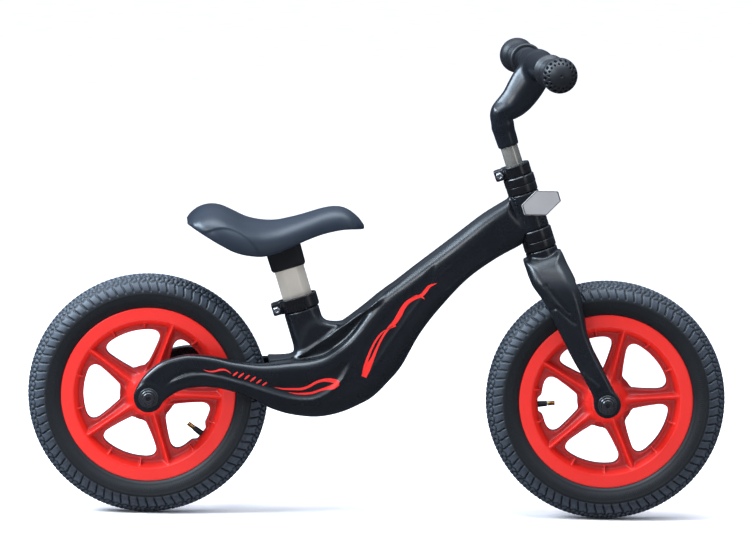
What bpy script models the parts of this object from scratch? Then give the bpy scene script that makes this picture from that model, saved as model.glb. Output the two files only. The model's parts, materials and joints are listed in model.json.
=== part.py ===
"""A child's balance bike: two twelve-inch five-spoke wheels, a one-piece cast frame, a cast fork, a
moulded stem with its crossbar, and a saddle on a faceted post.

Metres. +X is forward, +Y is the rider's left, +Z is up. The origin is on the ground, midway between the
wheels. A place along the steering axis or the seat axis is a distance from that axis's reference point.
"""

import math

import bmesh
import bpy
from mathutils import Matrix, Vector

# Driving dimensions
WHEELBASE = 0.580
TYRE_RADIUS = 0.152
TYRE_SECTION = 0.0245
RIM_RADIUS = 0.1105
SPOKES = 5
FRONT_SPOKE_ANGLE = math.radians(4.8)
REAR_SPOKE_ANGLE = math.radians(-0.8)
FRONT_VALVE_ANGLE = math.radians(184.8)
REAR_VALVE_ANGLE = math.radians(-36.8)
STEERING_TILT = math.radians(18.5)
STEERING_POINT = Vector((0.1857, 0.0, 0.3979))
SEAT_TILT = math.radians(17.5)
SEAT_POINT = Vector((-0.1088, 0.0, 0.2957))
BAR_TURN = math.radians(4.8)
BAR_CENTRE = Vector((0.196, 0.0, 0.576))
BAR_HALF_LENGTH = 0.206
DROPOUT_INNER = 0.0423
DROPOUT_OUTER = 0.0557
GAP = 0.0003

# Directions and frames of reference
SIDEWAYS = Vector((0.0, 1.0, 0.0))
STEERING_AXIS = Vector((-math.sin(STEERING_TILT), 0.0, math.cos(STEERING_TILT)))
SEAT_AXIS = Vector((-math.sin(SEAT_TILT), 0.0, math.cos(SEAT_TILT)))
REAR_HUB = Vector((-WHEELBASE / 2, 0.0, TYRE_RADIUS))
FRONT_HUB = Vector((WHEELBASE / 2, 0.0, TYRE_RADIUS))

# Round sizes shared by mating pieces (radii)
STEERER_RADIUS = 0.0130
STEERER_BORE = 0.0115
POST_RADIUS = 0.0111
HEAD_BORE = 0.0170
CUP_RADIUS = 0.0205
HUB_RADIUS = 0.0190
BEARING_RADIUS = 0.0130
BEARING_BORE = 0.0053
AXLE_RADIUS = 0.0050
AXLE_BORE = 0.0033
BAR_CORE = 0.0110

# Widths across a hub, from its middle: the hub barrel, and a bearing's two faces
HUB_HALF_WIDTH = 0.0352
BEARING_SPAN = (0.0270, 0.0350)

# Places along the steering axis, from STEERING_POINT
CROWN_TOP = -0.0670
LOWER_CUP = (-0.0575, -0.0313)
HEAD_TUBE = (-0.0340, 0.0175)
UPPER_CUP = (0.0178, 0.0400)
STEERER_CLAMP = (0.0403, 0.0550)
STEM_FOOT = 0.0790

# Places along the seat axis, from SEAT_POINT
SEAT_TUBE_NECK = -0.0360
SEAT_TUBE_TOP = -0.0200
SEAT_CLAMP = (-0.0350, -0.0180)
SEAT_POST = (-0.1150, 0.0400)
SEAT_BORE_FLOOR = -0.1400
COLLAR = (0.0195, 0.0420)

# Edges of the beam, as (top x, top z, bottom x, bottom z, half width), from the head to the belly
BEAM = (
    (0.180, 0.402, 0.195, 0.368, 0.014),
    (0.1635, 0.405, 0.179, 0.351, 0.017),
    (0.129, 0.385, 0.155, 0.336, 0.019),
    (0.096, 0.361, 0.133, 0.319, 0.020),
    (0.049, 0.324, 0.088, 0.279, 0.022),
    (0.010, 0.288, 0.057, 0.240, 0.024),
    (-0.018, 0.267, 0.038, 0.208, 0.026),
    (-0.045, 0.240, 0.012, 0.170, 0.029),
    (-0.075, 0.215, -0.025, 0.141, 0.031),
    (-0.105, 0.200, -0.080, 0.1265, 0.034),
    (-0.138, 0.194, -0.136, 0.138, 0.046),
)
# Edges of a rear arm, as (top x, top z, bottom x, bottom z, middle y, half thickness)
ARM = (
    (-0.095, 0.196, -0.090, 0.130, 0.022, 0.014),
    (-0.122, 0.194, -0.118, 0.134, 0.034, 0.013),
    (-0.152, 0.194, -0.148, 0.149, 0.0419, 0.0085),
    (-0.187, 0.200, -0.182, 0.161, 0.0450, 0.0078),
    (-0.226, 0.207, -0.220, 0.166, 0.0475, 0.0072),
    (-0.258, 0.204, -0.245, 0.163, 0.0487, 0.0069),
    (-0.285, 0.190, -0.262, 0.155, 0.0490, 0.0067),
    (-0.303, 0.171, -0.272, 0.143, 0.0490, 0.0067),
)
ARM_BOSS_RADIUS = 0.0185
# Edges of the fork, as (rear x, rear z, front x, front z, half width), from the crown to the axle
FORK = (
    (0.185, 0.327, 0.226, 0.341, 0.0215),
    (0.188, 0.315, 0.233, 0.330, 0.030),
    (0.192, 0.300, 0.246, 0.312, 0.044),
    (0.203, 0.285, 0.255, 0.290, 0.048),
    (0.214, 0.268, 0.257, 0.272, 0.050),
    (0.227, 0.242, 0.262, 0.248, 0.0515),
    (0.243, 0.211, 0.272, 0.219, 0.053),
    (0.259, 0.185, 0.287, 0.192, 0.055),
    (0.273, 0.160, 0.303, 0.165, 0.0557),
)
FORK_EYE_RADIUS = 0.0168
# Room round a wheel between the frame's arms or the fork's legs, as (radius, half width)
WHEEL_ROOM = ((0.0, 0.0420), (0.062, 0.0420), (0.110, 0.0330), (0.157, 0.0330))
# A spoke's section from the hub to the rim, as (radius, half width, half thickness)
SPOKE = (
    (0.0150, 0.0100, 0.0170),
    (0.0350, 0.0095, 0.0165),
    (0.0620, 0.0125, 0.0155),
    (0.0855, 0.0235, 0.0145),
)
# Edges of the stem, as (rear x, rear z, front x, front z, half width), from the sleeve to the bar
STEM = (
    (0.1395, 0.490, 0.1680, 0.500, 0.0142),
    (0.1360, 0.506, 0.1650, 0.506, 0.0145),
    (0.1380, 0.521, 0.1730, 0.508, 0.0150),
    (0.1460, 0.534, 0.1830, 0.516, 0.0155),
    (0.1550, 0.549, 0.1940, 0.528, 0.0165),
    (0.1660, 0.563, 0.2040, 0.543, 0.0180),
    (0.1780, 0.576, 0.2110, 0.562, 0.0190),
)
# Saddle stations, as (x, top z, wing edge z, half width), from the tail to the nose
SADDLE = (
    (-0.2440, 0.3745, 0.3715, 0.040),
    (-0.2360, 0.3850, 0.3620, 0.056),
    (-0.2200, 0.3930, 0.3500, 0.067),
    (-0.2000, 0.3910, 0.3380, 0.070),
    (-0.1750, 0.3800, 0.3290, 0.068),
    (-0.1450, 0.3745, 0.3280, 0.056),
    (-0.1150, 0.3780, 0.3360, 0.042),
    (-0.0850, 0.3870, 0.3480, 0.032),
    (-0.0550, 0.3930, 0.3570, 0.027),
    (-0.0350, 0.3860, 0.3620, 0.024),
    (-0.0200, 0.3700, 0.3660, 0.014),
)


def clear_scene():
    """Removes whatever the scene holds."""
    for obj in list(bpy.data.objects):
        bpy.data.objects.remove(obj)


def paint(name, colour, roughness, metallic=0.0):
    """A material with one colour and one finish."""
    made = bpy.data.materials.new(name)
    made.use_nodes = True
    shader = made.node_tree.nodes["Principled BSDF"]
    shader.inputs["Base Color"].default_value = (*colour, 1.0)
    shader.inputs["Roughness"].default_value = roughness
    shader.inputs["Metallic"].default_value = metallic
    made.diffuse_color = (*colour, 1.0)
    return made


def add_object(name, bm, finish, place=None):
    """Turns a bmesh into a smooth-shaded object with its faces pointing out."""
    bmesh.ops.recalc_face_normals(bm, faces=bm.faces)
    mesh = bpy.data.meshes.new(name)
    bm.to_mesh(mesh)
    bm.free()
    mesh.materials.append(finish)
    mesh.shade_smooth()
    mesh.set_sharp_from_angle(angle=math.radians(35))
    obj = bpy.data.objects.new(name, mesh)
    obj.matrix_world = place or Matrix.Identity(4)
    bpy.context.scene.collection.objects.link(obj)
    return obj


def along(origin, direction):
    """A frame whose Z runs along direction, with Y kept sideways where it can be."""
    z = direction.normalized()
    y = SIDEWAYS if abs(z.y) < 0.9 else Vector((0.0, 0.0, 1.0))
    x = y.cross(z).normalized()
    y = z.cross(x)
    return Matrix.Translation(origin) @ Matrix((x, y, z)).transposed().to_4x4()


def wheel_frame(hub):
    """A frame at a hub whose Z points to the rider's right, so that angles run from +X up to +Z."""
    return Matrix.Translation(hub) @ Matrix.Rotation(math.pi / 2, 4, "X")


STEERING_FRAME = along(STEERING_POINT, STEERING_AXIS)
SEAT_FRAME = along(SEAT_POINT, SEAT_AXIS)


def bridge(bm, first, second):
    """Joins two rings of points, of which either may be one point repeated."""
    count = len(first)
    for i in range(count):
        j = (i + 1) % count
        corners = list(dict.fromkeys((first[i], first[j], second[j], second[i])))
        if len(corners) > 2:
            bm.faces.new(corners)


def turned(name, profile, finish, place, steps=16):
    """A solid of revolution about the frame's Z from (radius, height) points, which either start and end
    on the axis or run round a closed ring."""
    bm = bmesh.new()
    rings = []
    for radius, height in profile:
        if radius == 0.0:
            rings.append([bm.verts.new((0.0, 0.0, height))] * steps)
            continue
        angles = (2 * math.pi * i / steps for i in range(steps))
        rings.append([bm.verts.new((radius * math.cos(a), radius * math.sin(a), height)) for a in angles])
    for first, second in zip(rings, rings[1:]):
        bridge(bm, first, second)
    if profile[0][0] > 0.0:
        bridge(bm, rings[-1], rings[0])
    return add_object(name, bm, finish, place)


def tube(name, outer, inner, low, high, finish, place, steps=16):
    """A plain ring or tube between two heights."""
    profile = ((outer, low), (outer, high), (inner, high), (inner, low))
    return turned(name, profile, finish, place, steps)


def rod(name, radius, low, high, finish, place, steps=16):
    """A plain solid cylinder between two heights."""
    profile = ((0.0, low), (radius, low), (radius, high), (0.0, high))
    return turned(name, profile, finish, place, steps)


def lofted(name, rings, finish, place=None):
    """A solid through rings of points, closed by a face at each end."""
    bm = bmesh.new()
    made = [[bm.verts.new(point) for point in ring] for ring in rings]
    for first, second in zip(made, made[1:]):
        bridge(bm, first, second)
    bm.faces.new(made[0])
    bm.faces.new(made[-1])
    return add_object(name, bm, finish, place)


def oval(centre, height_axis, half_height, half_width, power=2.6, count=20, width_axis=SIDEWAYS):
    """A ring between an ellipse (power 2) and a rectangle (high power)."""
    points = []
    for i in range(count):
        angle = 2 * math.pi * (i + 0.5) / count
        c, s = math.cos(angle), math.sin(angle)
        height = math.copysign(abs(c) ** (2 / power), c) * half_height
        width = math.copysign(abs(s) ** (2 / power), s) * half_width
        points.append(centre + height_axis * height + width_axis * width)
    return points


def edged_ring(station, y=0.0, power=2.6, count=16):
    """The ring whose first and last points in the side view are the station's two edges."""
    first = Vector((station[0], y, station[1]))
    last = Vector((station[2], y, station[3]))
    across = first - last
    centre = (first + last) / 2
    return oval(centre, across.normalized(), across.length / 2, station[-1], power, count)


def box(name, low, high, finish, place=None):
    """A box between two corners of its frame."""
    middle = (Vector(low) + Vector(high)) / 2
    size = Vector(high) - Vector(low)
    bm = bmesh.new()
    bmesh.ops.create_cube(bm, size=1.0, matrix=Matrix.Translation(middle) @ Matrix.Diagonal((*size, 1.0)))
    return add_object(name, bm, finish, place)


def combine(target, helper, operation):
    """Adds a helper solid to the target, or takes it away."""
    helper.hide_render = True
    helper.display_type = "WIRE"
    modifier = target.modifiers.new(f"{operation.lower()}_{helper.name}", "BOOLEAN")
    modifier.operation = operation
    modifier.object = helper
    return target


def join(target, *helpers):
    for helper in helpers:
        combine(target, helper, "UNION")


def cut(target, *helpers):
    for helper in helpers:
        combine(target, helper, "DIFFERENCE")


def wheel_room(name, hub, finish):
    """The cutter that clears a wheel between two arms or legs."""
    lower = [(radius, -half) for radius, half in WHEEL_ROOM]
    upper = [(radius, half) for radius, half in reversed(WHEEL_ROOM)]
    return turned(name, lower + upper, finish, wheel_frame(hub), steps=48)


def make_frame(black):
    """The cast frame: beam, arms, seat tube and head tube in one solid, then its bores."""
    frame = lofted("main_frame", [edged_ring(station, power=2.8) for station in BEAM], black)
    for side, name in ((-1, "right"), (1, "left")):
        rings = [edged_ring(station, y=side * station[4], power=3.0, count=12) for station in ARM]
        arm = lofted(f"arm_{name}", rings, black)
        ends = sorted((-side * DROPOUT_INNER, -side * DROPOUT_OUTER))
        boss = rod(f"arm_boss_{name}", ARM_BOSS_RADIUS, *ends, black, wheel_frame(REAR_HUB), 28)
        join(frame, arm, boss)
    forward = SEAT_FRAME.to_3x3() @ Vector((1.0, 0.0, 0.0))
    neck_step = SEAT_TUBE_NECK - GAP
    seat_stations = ((-0.128, 0.019, 0.017), (-0.090, 0.0225, 0.0195), (neck_step, 0.0225, 0.0195))
    seat_tube = lofted(
        "seat_tube",
        [oval(SEAT_POINT + SEAT_AXIS * at, forward, half, wide, 2.3) for at, half, wide in seat_stations],
        black,
    )
    neck_ends = (SEAT_TUBE_NECK - 0.010, SEAT_TUBE_TOP)
    neck = lofted(
        "seat_tube_neck",
        [oval(SEAT_POINT + SEAT_AXIS * at, forward, 0.0213, 0.0180, 2.3) for at in neck_ends],
        black,
    )
    head_tube = rod("head_tube", 0.0190, *HEAD_TUBE, black, STEERING_FRAME)
    join(frame, seat_tube, neck, head_tube)
    post_room = lofted(
        "seat_bore",
        [octagon(at, GAP) for at in (SEAT_BORE_FLOOR, SEAT_TUBE_TOP + 0.01)],
        black,
    )
    cup_room, cup_seat = CUP_RADIUS + GAP, LOWER_CUP[1] + GAP
    head_profile = ((0.0, -0.075), (cup_room, -0.075), (cup_room, cup_seat), (HEAD_BORE, cup_seat))
    head_profile += ((HEAD_BORE, 0.030), (0.0, 0.030))
    head_bore = turned("head_bore", head_profile, black, STEERING_FRAME)
    axle_hole = rod("rear_axle_hole", BEARING_BORE, -0.06, 0.06, black, wheel_frame(REAR_HUB), 20)
    cut(frame, wheel_room("rear_wheel_room", REAR_HUB, black), post_room, head_bore, axle_hole)


def octagon(at, margin=0.0):
    """The faceted seat post's outline at a place along the seat axis, grown by a margin."""
    half_long = 0.0190 + margin
    half_wide = 0.0150 + margin
    flat_long = 0.0085
    flat_wide = 0.0060
    corners = (
        (half_long, flat_wide),
        (flat_long, half_wide),
        (-flat_long, half_wide),
        (-half_long, flat_wide),
        (-half_long, -flat_wide),
        (-flat_long, -half_wide),
        (flat_long, -half_wide),
        (half_long, -flat_wide),
    )
    return [SEAT_FRAME @ Vector((x, y, at)) for x, y in corners]


def make_headset(black, steel):
    """The two pressed cups and the bearings that they hold."""
    low, high = LOWER_CUP
    cup_outer, skirt, bore, pocket = CUP_RADIUS, HEAD_BORE - GAP, STEERER_RADIUS + 0.0006, 0.0174
    lower = (
        (cup_outer - 0.0015, low), (cup_outer, low + 0.0015), (cup_outer, high), (skirt, high),
        (skirt, high + 0.011), (bore, high + 0.011), (bore, low + 0.0135), (pocket, low + 0.0135),
        (pocket, low),
    )
    turned("headset_lower_cup", lower, black, STEERING_FRAME)
    tube("headset_lower_bearing", 0.0171, 0.0133, low + 0.004, low + 0.0132, steel, STEERING_FRAME)
    low, high = UPPER_CUP
    cup_outer = 0.0195
    upper = (
        (cup_outer, low), (cup_outer, high - 0.0015), (cup_outer - 0.0015, high), (pocket, high),
        (pocket, high - 0.0130), (bore, high - 0.0130), (bore, low - 0.011), (skirt, low - 0.011),
        (skirt, low),
    )
    turned("headset_upper_cup", upper, black, STEERING_FRAME)
    tube("headset_upper_bearing", 0.0171, 0.0133, high - 0.0127, high - 0.003, steel, STEERING_FRAME)


def badge_frame():
    """The plate's frame: Z out of its face, X towards the front of the bike."""
    turn = math.radians(12)
    outward = Vector((math.sin(turn), -math.cos(turn), 0.0))
    forward = Vector((math.cos(turn), math.sin(turn), 0.0))
    upright = outward.cross(forward)
    lean = Matrix.Rotation(math.radians(8), 3, "Z")
    axes = Matrix((forward, upright, outward)).transposed() @ lean
    return Matrix.Translation(Vector((0.2030, -0.0170, 0.4045))) @ axes.to_4x4()


def make_badge(silver):
    """A blank hexagonal plate beside the head tube."""
    half_long, half_flat, half_high = 0.0262, 0.0125, 0.0155
    corners = (
        (half_long, 0.0), (half_flat, half_high), (-half_flat, half_high),
        (-half_long, 0.0), (-half_flat, -half_high), (half_flat, -half_high),
    )
    rings = [[Vector((x, y, z)) for x, y in corners] for z in (0.0, 0.0022)]
    place = badge_frame() @ Matrix.Translation((0.0, 0.0, 0.0040))
    lofted("head_badge", rings, silver, place)


def make_clamp(name, outer, inner, span, ear, bolt_height, steel, black, place):
    """A split collar with two ears to the rear, its cross bolt and its nut. outer and inner are rings in
    the clamp's frame, given as functions of height; ear is (reach, half width, bolt reach)."""
    low, high = span
    reach, half_ear, bolt_reach = ear
    body = lofted(name, [outer(low), outer(high)], black, place)
    ears = box(f"{name}_ears", (-reach, -half_ear, low), (-0.012, half_ear, high), black, place)
    join(body, ears)
    bore = lofted(f"{name}_bore", [inner(low - 0.01), inner(high + 0.01)], black, place)
    slit = box(f"{name}_slit", (-reach - 0.01, -0.0012, low - 0.01), (0.0, 0.0012, high + 0.01), black, place)
    bolt_middle = Matrix.Translation((-bolt_reach, 0.0, bolt_height))
    across = place @ bolt_middle @ Matrix.Rotation(math.pi / 2, 4, "X")
    hole = rod(f"{name}_hole", 0.0028, -0.03, 0.03, black, across, 16)
    cut(body, bore, slit, hole)
    face = half_ear + GAP
    shank = ((0.0, -face - 0.0036), (0.0025, -face - 0.0036), (0.0025, face), (0.0045, face))
    cap = ((0.0050, face + 0.0006), (0.0050, face + 0.0040), (0.0044, face + 0.0046))
    socket = ((0.0024, face + 0.0046), (0.0024, face + 0.0020), (0.0, face + 0.0020))
    turned(f"{name}_bolt", shank + cap + socket, steel, across, 12)
    tube(f"{name}_nut", 0.0052, 0.0032, -face - 0.0042, -face, steel, across, 6)


def round_ring(radius, count=16):
    """A circle in the XY plane, as a function of height."""
    angles = [2 * math.pi * i / count for i in range(count)]
    return lambda height: [Vector((radius * math.cos(a), radius * math.sin(a), height)) for a in angles]


def oval_ring(half_long, half_wide, power=2.3):
    """An oval in the XY plane, as a function of height."""
    x, y = Vector((1.0, 0.0, 0.0)), Vector((0.0, 1.0, 0.0))
    return lambda height: oval(Vector((0.0, 0.0, height)), x, half_long, half_wide, power, 20, y)


def make_seat(black, slate, aluminium, steel):
    """The post, the socket collar with its base plate, the saddle and its screws."""
    lofted("seat_post", [octagon(at) for at in SEAT_POST], aluminium)
    make_clamp(
        "seat_clamp", oval_ring(0.0245, 0.0212), oval_ring(0.0216, 0.0183), SEAT_CLAMP,
        (0.0355, 0.0085, 0.0300), -0.0275, steel, black, SEAT_FRAME,
    )
    make_saddle(black, slate, steel)


def make_saddle(black, slate, steel):
    """The moulded saddle, hollow below for the base plate, which carries the socket collar."""
    rings = []
    for x, top, edge, half_width in SADDLE:
        middle = Vector((x, 0.0, (top + edge) / 2))
        rings.append(oval(middle, Vector((0.0, 0.0, 1.0)), (top - edge) / 2, half_width, 2.6, 20))
    shell = lofted("saddle_shell", rings, slate)
    plate_low, plate_high = (-0.185, -0.030, 0.3480), (-0.085, 0.030, 0.3560)
    pocket_low = (plate_low[0] - GAP, plate_low[1] - GAP, 0.300)
    pocket_high = (plate_high[0] + GAP, plate_high[1] + GAP, plate_high[2] + GAP)
    cut(shell, box("saddle_pocket", pocket_low, pocket_high, slate))
    base = box("saddle_base", plate_low, plate_high, black)
    low, high = COLLAR
    collar_stations = ((low, 0.0205, 0.0175), (low + 0.003, 0.0222, 0.0190), (0.055, 0.0232, 0.0200))
    forward = SEAT_FRAME.to_3x3() @ Vector((1.0, 0.0, 0.0))
    collar = lofted(
        "saddle_collar",
        [oval(SEAT_POINT + SEAT_AXIS * at, forward, half, wide, 3.2) for at, half, wide in collar_stations],
        black,
    )
    trim = box("collar_trim", (-0.20, -0.04, plate_high[2]), (-0.06, 0.04, 0.40), black)
    cut(collar, trim)
    join(base, collar)
    socket = lofted("saddle_socket", [octagon(at, GAP) for at in (0.0, SEAT_POST[1] + GAP)], black)
    cut(base, socket)
    places = ((-0.177, -0.022), (-0.177, 0.022), (-0.093, -0.022), (-0.093, 0.022))
    for number, (x, y) in enumerate(places, start=1):
        place = Matrix.Translation((x, y, plate_low[2]))
        hole = rod(f"screw_hole_{number}", 0.0018, -0.002, 0.0165, black, place, 12)
        cut(base, hole)
        cut(shell, hole)
        head = ((0.0, -0.0024), (0.0036, -0.0016), (0.0036, -GAP))
        shank = ((0.0015, -GAP), (0.0015, 0.0155), (0.0, 0.0160))
        turned(f"saddle_screw_{number}", head + shank, steel, place, 12)


def make_fork(black, steel):
    """The cast fork, and the steerer tube pressed into its crown."""
    fork = lofted("fork", [edged_ring(station, power=3.2, count=16) for station in FORK], black)
    race = rod("crown_race", 0.0185, CROWN_TOP - 0.012, LOWER_CUP[0] - GAP, black, STEERING_FRAME)
    join(fork, race)
    for side, name in ((-1, "right"), (1, "left")):
        ends = sorted((-side * 0.034, -side * DROPOUT_OUTER))
        eye = rod(f"fork_eye_{name}", FORK_EYE_RADIUS, *ends, black, wheel_frame(FRONT_HUB), 28)
        join(fork, eye)
    steerer_low = CROWN_TOP - 0.030
    bore = rod("steerer_room", STEERER_RADIUS + GAP, steerer_low - GAP, 0.0, black, STEERING_FRAME)
    hole = rod("front_axle_hole", BEARING_BORE, -0.06, 0.06, black, wheel_frame(FRONT_HUB), 20)
    cut(fork, wheel_room("front_wheel_room", FRONT_HUB, black), bore, hole)
    tube("steerer_tube", STEERER_RADIUS, STEERER_BORE, steerer_low, STEERER_CLAMP[1], steel, STEERING_FRAME)
    make_clamp(
        "steerer_clamp", round_ring(0.0185), round_ring(STEERER_RADIUS + GAP), STEERER_CLAMP,
        (0.0285, 0.0085, 0.0226), 0.0475, steel, black, STEERING_FRAME,
    )


def make_handlebar(black, rubber, aluminium):
    """The post, the stem with its crossbar, and the grips, turned together in the clamp."""
    turn = Matrix.Translation(STEERING_POINT) @ Matrix.Rotation(BAR_TURN, 4, STEERING_AXIS)
    turn = turn @ Matrix.Translation(-STEERING_POINT)
    post_ends = (-0.0150, 0.1080)
    tube("handlebar_post", POST_RADIUS, 0.0095, *post_ends, aluminium, turn @ STEERING_FRAME)
    stem = lofted("handlebar_stem", [edged_ring(station, power=2.4) for station in STEM], black, turn)
    sleeve_profile = (
        (0.0, STEM_FOOT), (0.0130, STEM_FOOT), (0.0138, STEM_FOOT + 0.002), (0.0142, 0.112), (0.0, 0.112),
    )
    sleeve = turned("stem_sleeve", sleeve_profile, black, turn @ STEERING_FRAME)
    bar_frame = turn @ along(BAR_CENTRE, SIDEWAYS)
    half_profile = ((BAR_CORE, 0.199), (BAR_CORE, 0.1035), (0.0150, 0.0970), (0.0165, 0.070), (0.0180, 0.030))
    bar_profile = [(0.0, 0.199), *half_profile]
    bar_profile += [(radius, -height) for radius, height in reversed(bar_profile)]
    crossbar = turned("crossbar", bar_profile, black, bar_frame)
    join(stem, sleeve, crossbar)
    cut(stem, rod("stem_bore", POST_RADIUS + GAP, 0.060, post_ends[1] + GAP, black, turn @ STEERING_FRAME))
    for side, name in ((1, "grip_left"), (-1, "grip_right")):
        bore = BAR_CORE + GAP
        ball = BAR_HALF_LENGTH - 0.013
        profile = [(bore, 0.1040), (0.0190, 0.1040), (0.0208, 0.1055), (0.0208, 0.1085), (0.0190, 0.1105)]
        profile += [(0.0150, 0.1130), (0.0155, 0.1750), (0.0200, 0.1815), (0.0222, 0.1880), (0.0225, ball)]
        profile += [(0.0205, ball + 0.0065), (0.0130, ball + 0.0115), (0.0, BAR_HALF_LENGTH)]
        profile += [(0.0, 0.1993), (bore, 0.1993)]
        place = turn @ along(BAR_CENTRE, SIDEWAYS * side)
        turned_cup(name, profile, rubber, place)


def turned_cup(name, profile, finish, place, steps=16):
    """A turned piece with a blind bore: the profile runs from the bore's mouth round to its floor, with
    the two points on the axis in the middle of the list."""
    tip = next(i for i, point in enumerate(profile) if point[0] == 0.0)
    outside = turned(name, [(0.0, profile[0][1]), *profile[1:tip + 1]], finish, place, steps)
    floor = profile[tip + 1][1]
    bore = rod(f"{name}_bore", profile[0][0], 0.05, floor, finish, place, steps)
    cut(outside, bore)


def make_wheel(prefix, hub, spoke_angle, valve_angle, finishes):
    """A wheel with its tyre, tube, valve, bearings, axle, spacers, washers and bolts."""
    red, rubber, steel, brass, dark = finishes
    place = wheel_frame(hub)
    make_rim(prefix, place, spoke_angle, valve_angle, red)
    make_tyre(prefix, place, rubber)
    make_valve(prefix, place, valve_angle, rubber, brass)
    for side, name in ((1, "right"), (-1, "left")):
        bearing = sorted(side * width for width in BEARING_SPAN)
        tube(f"{prefix}_hub_bearing_{name}", BEARING_RADIUS, BEARING_BORE, *bearing, steel, place, 14)
        spacer = sorted((side * (BEARING_SPAN[1] + GAP), side * (DROPOUT_INNER - GAP)))
        tube(f"{prefix}_axle_spacer_{name}", 0.0085, BEARING_BORE, *spacer, steel, place, 12)
        outward = place if side > 0 else place @ Matrix.Rotation(math.pi, 4, "X")
        face = DROPOUT_OUTER + GAP
        washer = ((AXLE_BORE, face), (0.0127, face), (0.0120, face + 0.0016), (0.0085, face + 0.0030))
        turned(f"{prefix}_axle_washer_{name}", (*washer, (AXLE_BORE, face + 0.0030)), dark, outward, 16)
        seat = face + 0.0030 + GAP
        bolt = (
            (0.0, 0.0300), (0.0030, 0.0300), (0.0030, seat), (0.0076, seat), (0.0076, seat + 0.0020),
            (0.0064, seat + 0.0036), (0.0030, seat + 0.0036), (0.0030, seat + 0.0012), (0.0, seat + 0.0012),
        )
        turned(f"{prefix}_axle_bolt_{name}", bolt, dark, outward, 12)
    pocket_floor = BEARING_SPAN[0] - GAP
    tube(f"{prefix}_hub_spacer", 0.0075, BEARING_BORE, -pocket_floor, pocket_floor, steel, place, 12)
    tube(f"{prefix}_axle", AXLE_RADIUS, AXLE_BORE, -0.0550, 0.0550, steel, place, 12)


def make_rim(prefix, place, spoke_angle, valve_angle, red):
    """The moulded wheel: rim ring, five spokes and hub in one solid, with its bearing bores."""
    outer, band, lip = RIM_RADIUS, 0.0950, 0.0800
    edge, well, web = 0.0200, 0.0178, 0.0130
    half_ring = ((lip, web), (band - 0.001, web), (band, edge), (outer, edge), (outer, well), (0.1035, well))
    ring = [(radius, -width) for radius, width in half_ring]
    ring += [(radius, width) for radius, width in reversed(half_ring)]
    wheel = turned(f"{prefix}_wheel", ring, red, place, steps=40)
    upright = Vector((0.0, 0.0, 1.0))
    for number in range(SPOKES):
        turn = place @ Matrix.Rotation(spoke_angle + 2 * math.pi * number / SPOKES, 4, "Z")
        rings = [
            oval(Vector((radius, 0.0, 0.0)), upright, thickness, width, 2.0, 12, SIDEWAYS)
            for radius, width, thickness in SPOKE
        ]
        join(wheel, lofted(f"{prefix}_spoke_{number}", rings, red, turn))
    barrel = rod(f"{prefix}_hub_barrel", HUB_RADIUS, -HUB_HALF_WIDTH, HUB_HALF_WIDTH, red, place)
    join(wheel, barrel)
    pocket = BEARING_RADIUS + GAP
    floor, end, core = BEARING_SPAN[0] - GAP, HUB_HALF_WIDTH + 0.015, 0.0110
    bore = ((0.0, -end), (pocket, -end), (pocket, -floor), (core, -floor))
    bore += ((core, floor), (pocket, floor), (pocket, end), (0.0, end))
    cut(wheel, turned(f"{prefix}_hub_bore", bore, red, place, 14))
    valve = place @ Matrix.Rotation(valve_angle, 4, "Z") @ Matrix.Rotation(math.pi / 2, 4, "Y")
    cut(wheel, rod(f"{prefix}_valve_hole", 0.0043, 0.060, 0.120, red, valve, 16))


def c_section(radius, thickness, opening, count):
    """The closed outline of a ring's wall that is open towards the axle: (radius, width) points."""
    middle = TYRE_RADIUS - TYRE_SECTION
    outer = []
    inner = []
    for i in range(count):
        angle = opening + (2 * math.pi - 2 * opening) * i / (count - 1)
        across = (-math.cos(angle), math.sin(angle))
        outer.append((middle + radius * across[0], radius * across[1]))
        inner.append((middle + (radius - thickness) * across[0], (radius - thickness) * across[1]))
    return outer + inner[::-1]


def make_tyre(prefix, place, rubber):
    """The tyre's open section, whose beads reach down behind the rim's flanges, and the inner tube."""
    section = c_section(TYRE_SECTION, 0.0040, math.radians(46), 9)
    turned(f"{prefix}_tyre", section, rubber, place, steps=40)
    tube_section = c_section(0.0175, 0.0014, math.radians(9), 6)
    turned(f"{prefix}_inner_tube", tube_section, rubber, place, steps=20)


def make_valve(prefix, place, angle, rubber, brass):
    """The valve stem with its moulded rubber cover, and the brass end that the pump fits."""
    radial = place @ Matrix.Rotation(angle, 4, "Z") @ Matrix.Rotation(math.pi / 2, 4, "Y")
    cover = ((0.0, 0.0738), (0.0028, 0.0738), (0.0040, 0.0760), (0.0040, 0.1090), (0.0, 0.1090))
    turned(f"{prefix}_valve_stem", cover, rubber, radial, 14)
    rod(f"{prefix}_valve_tip", 0.0026, 0.0645, 0.0735, brass, radial, 14)


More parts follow.
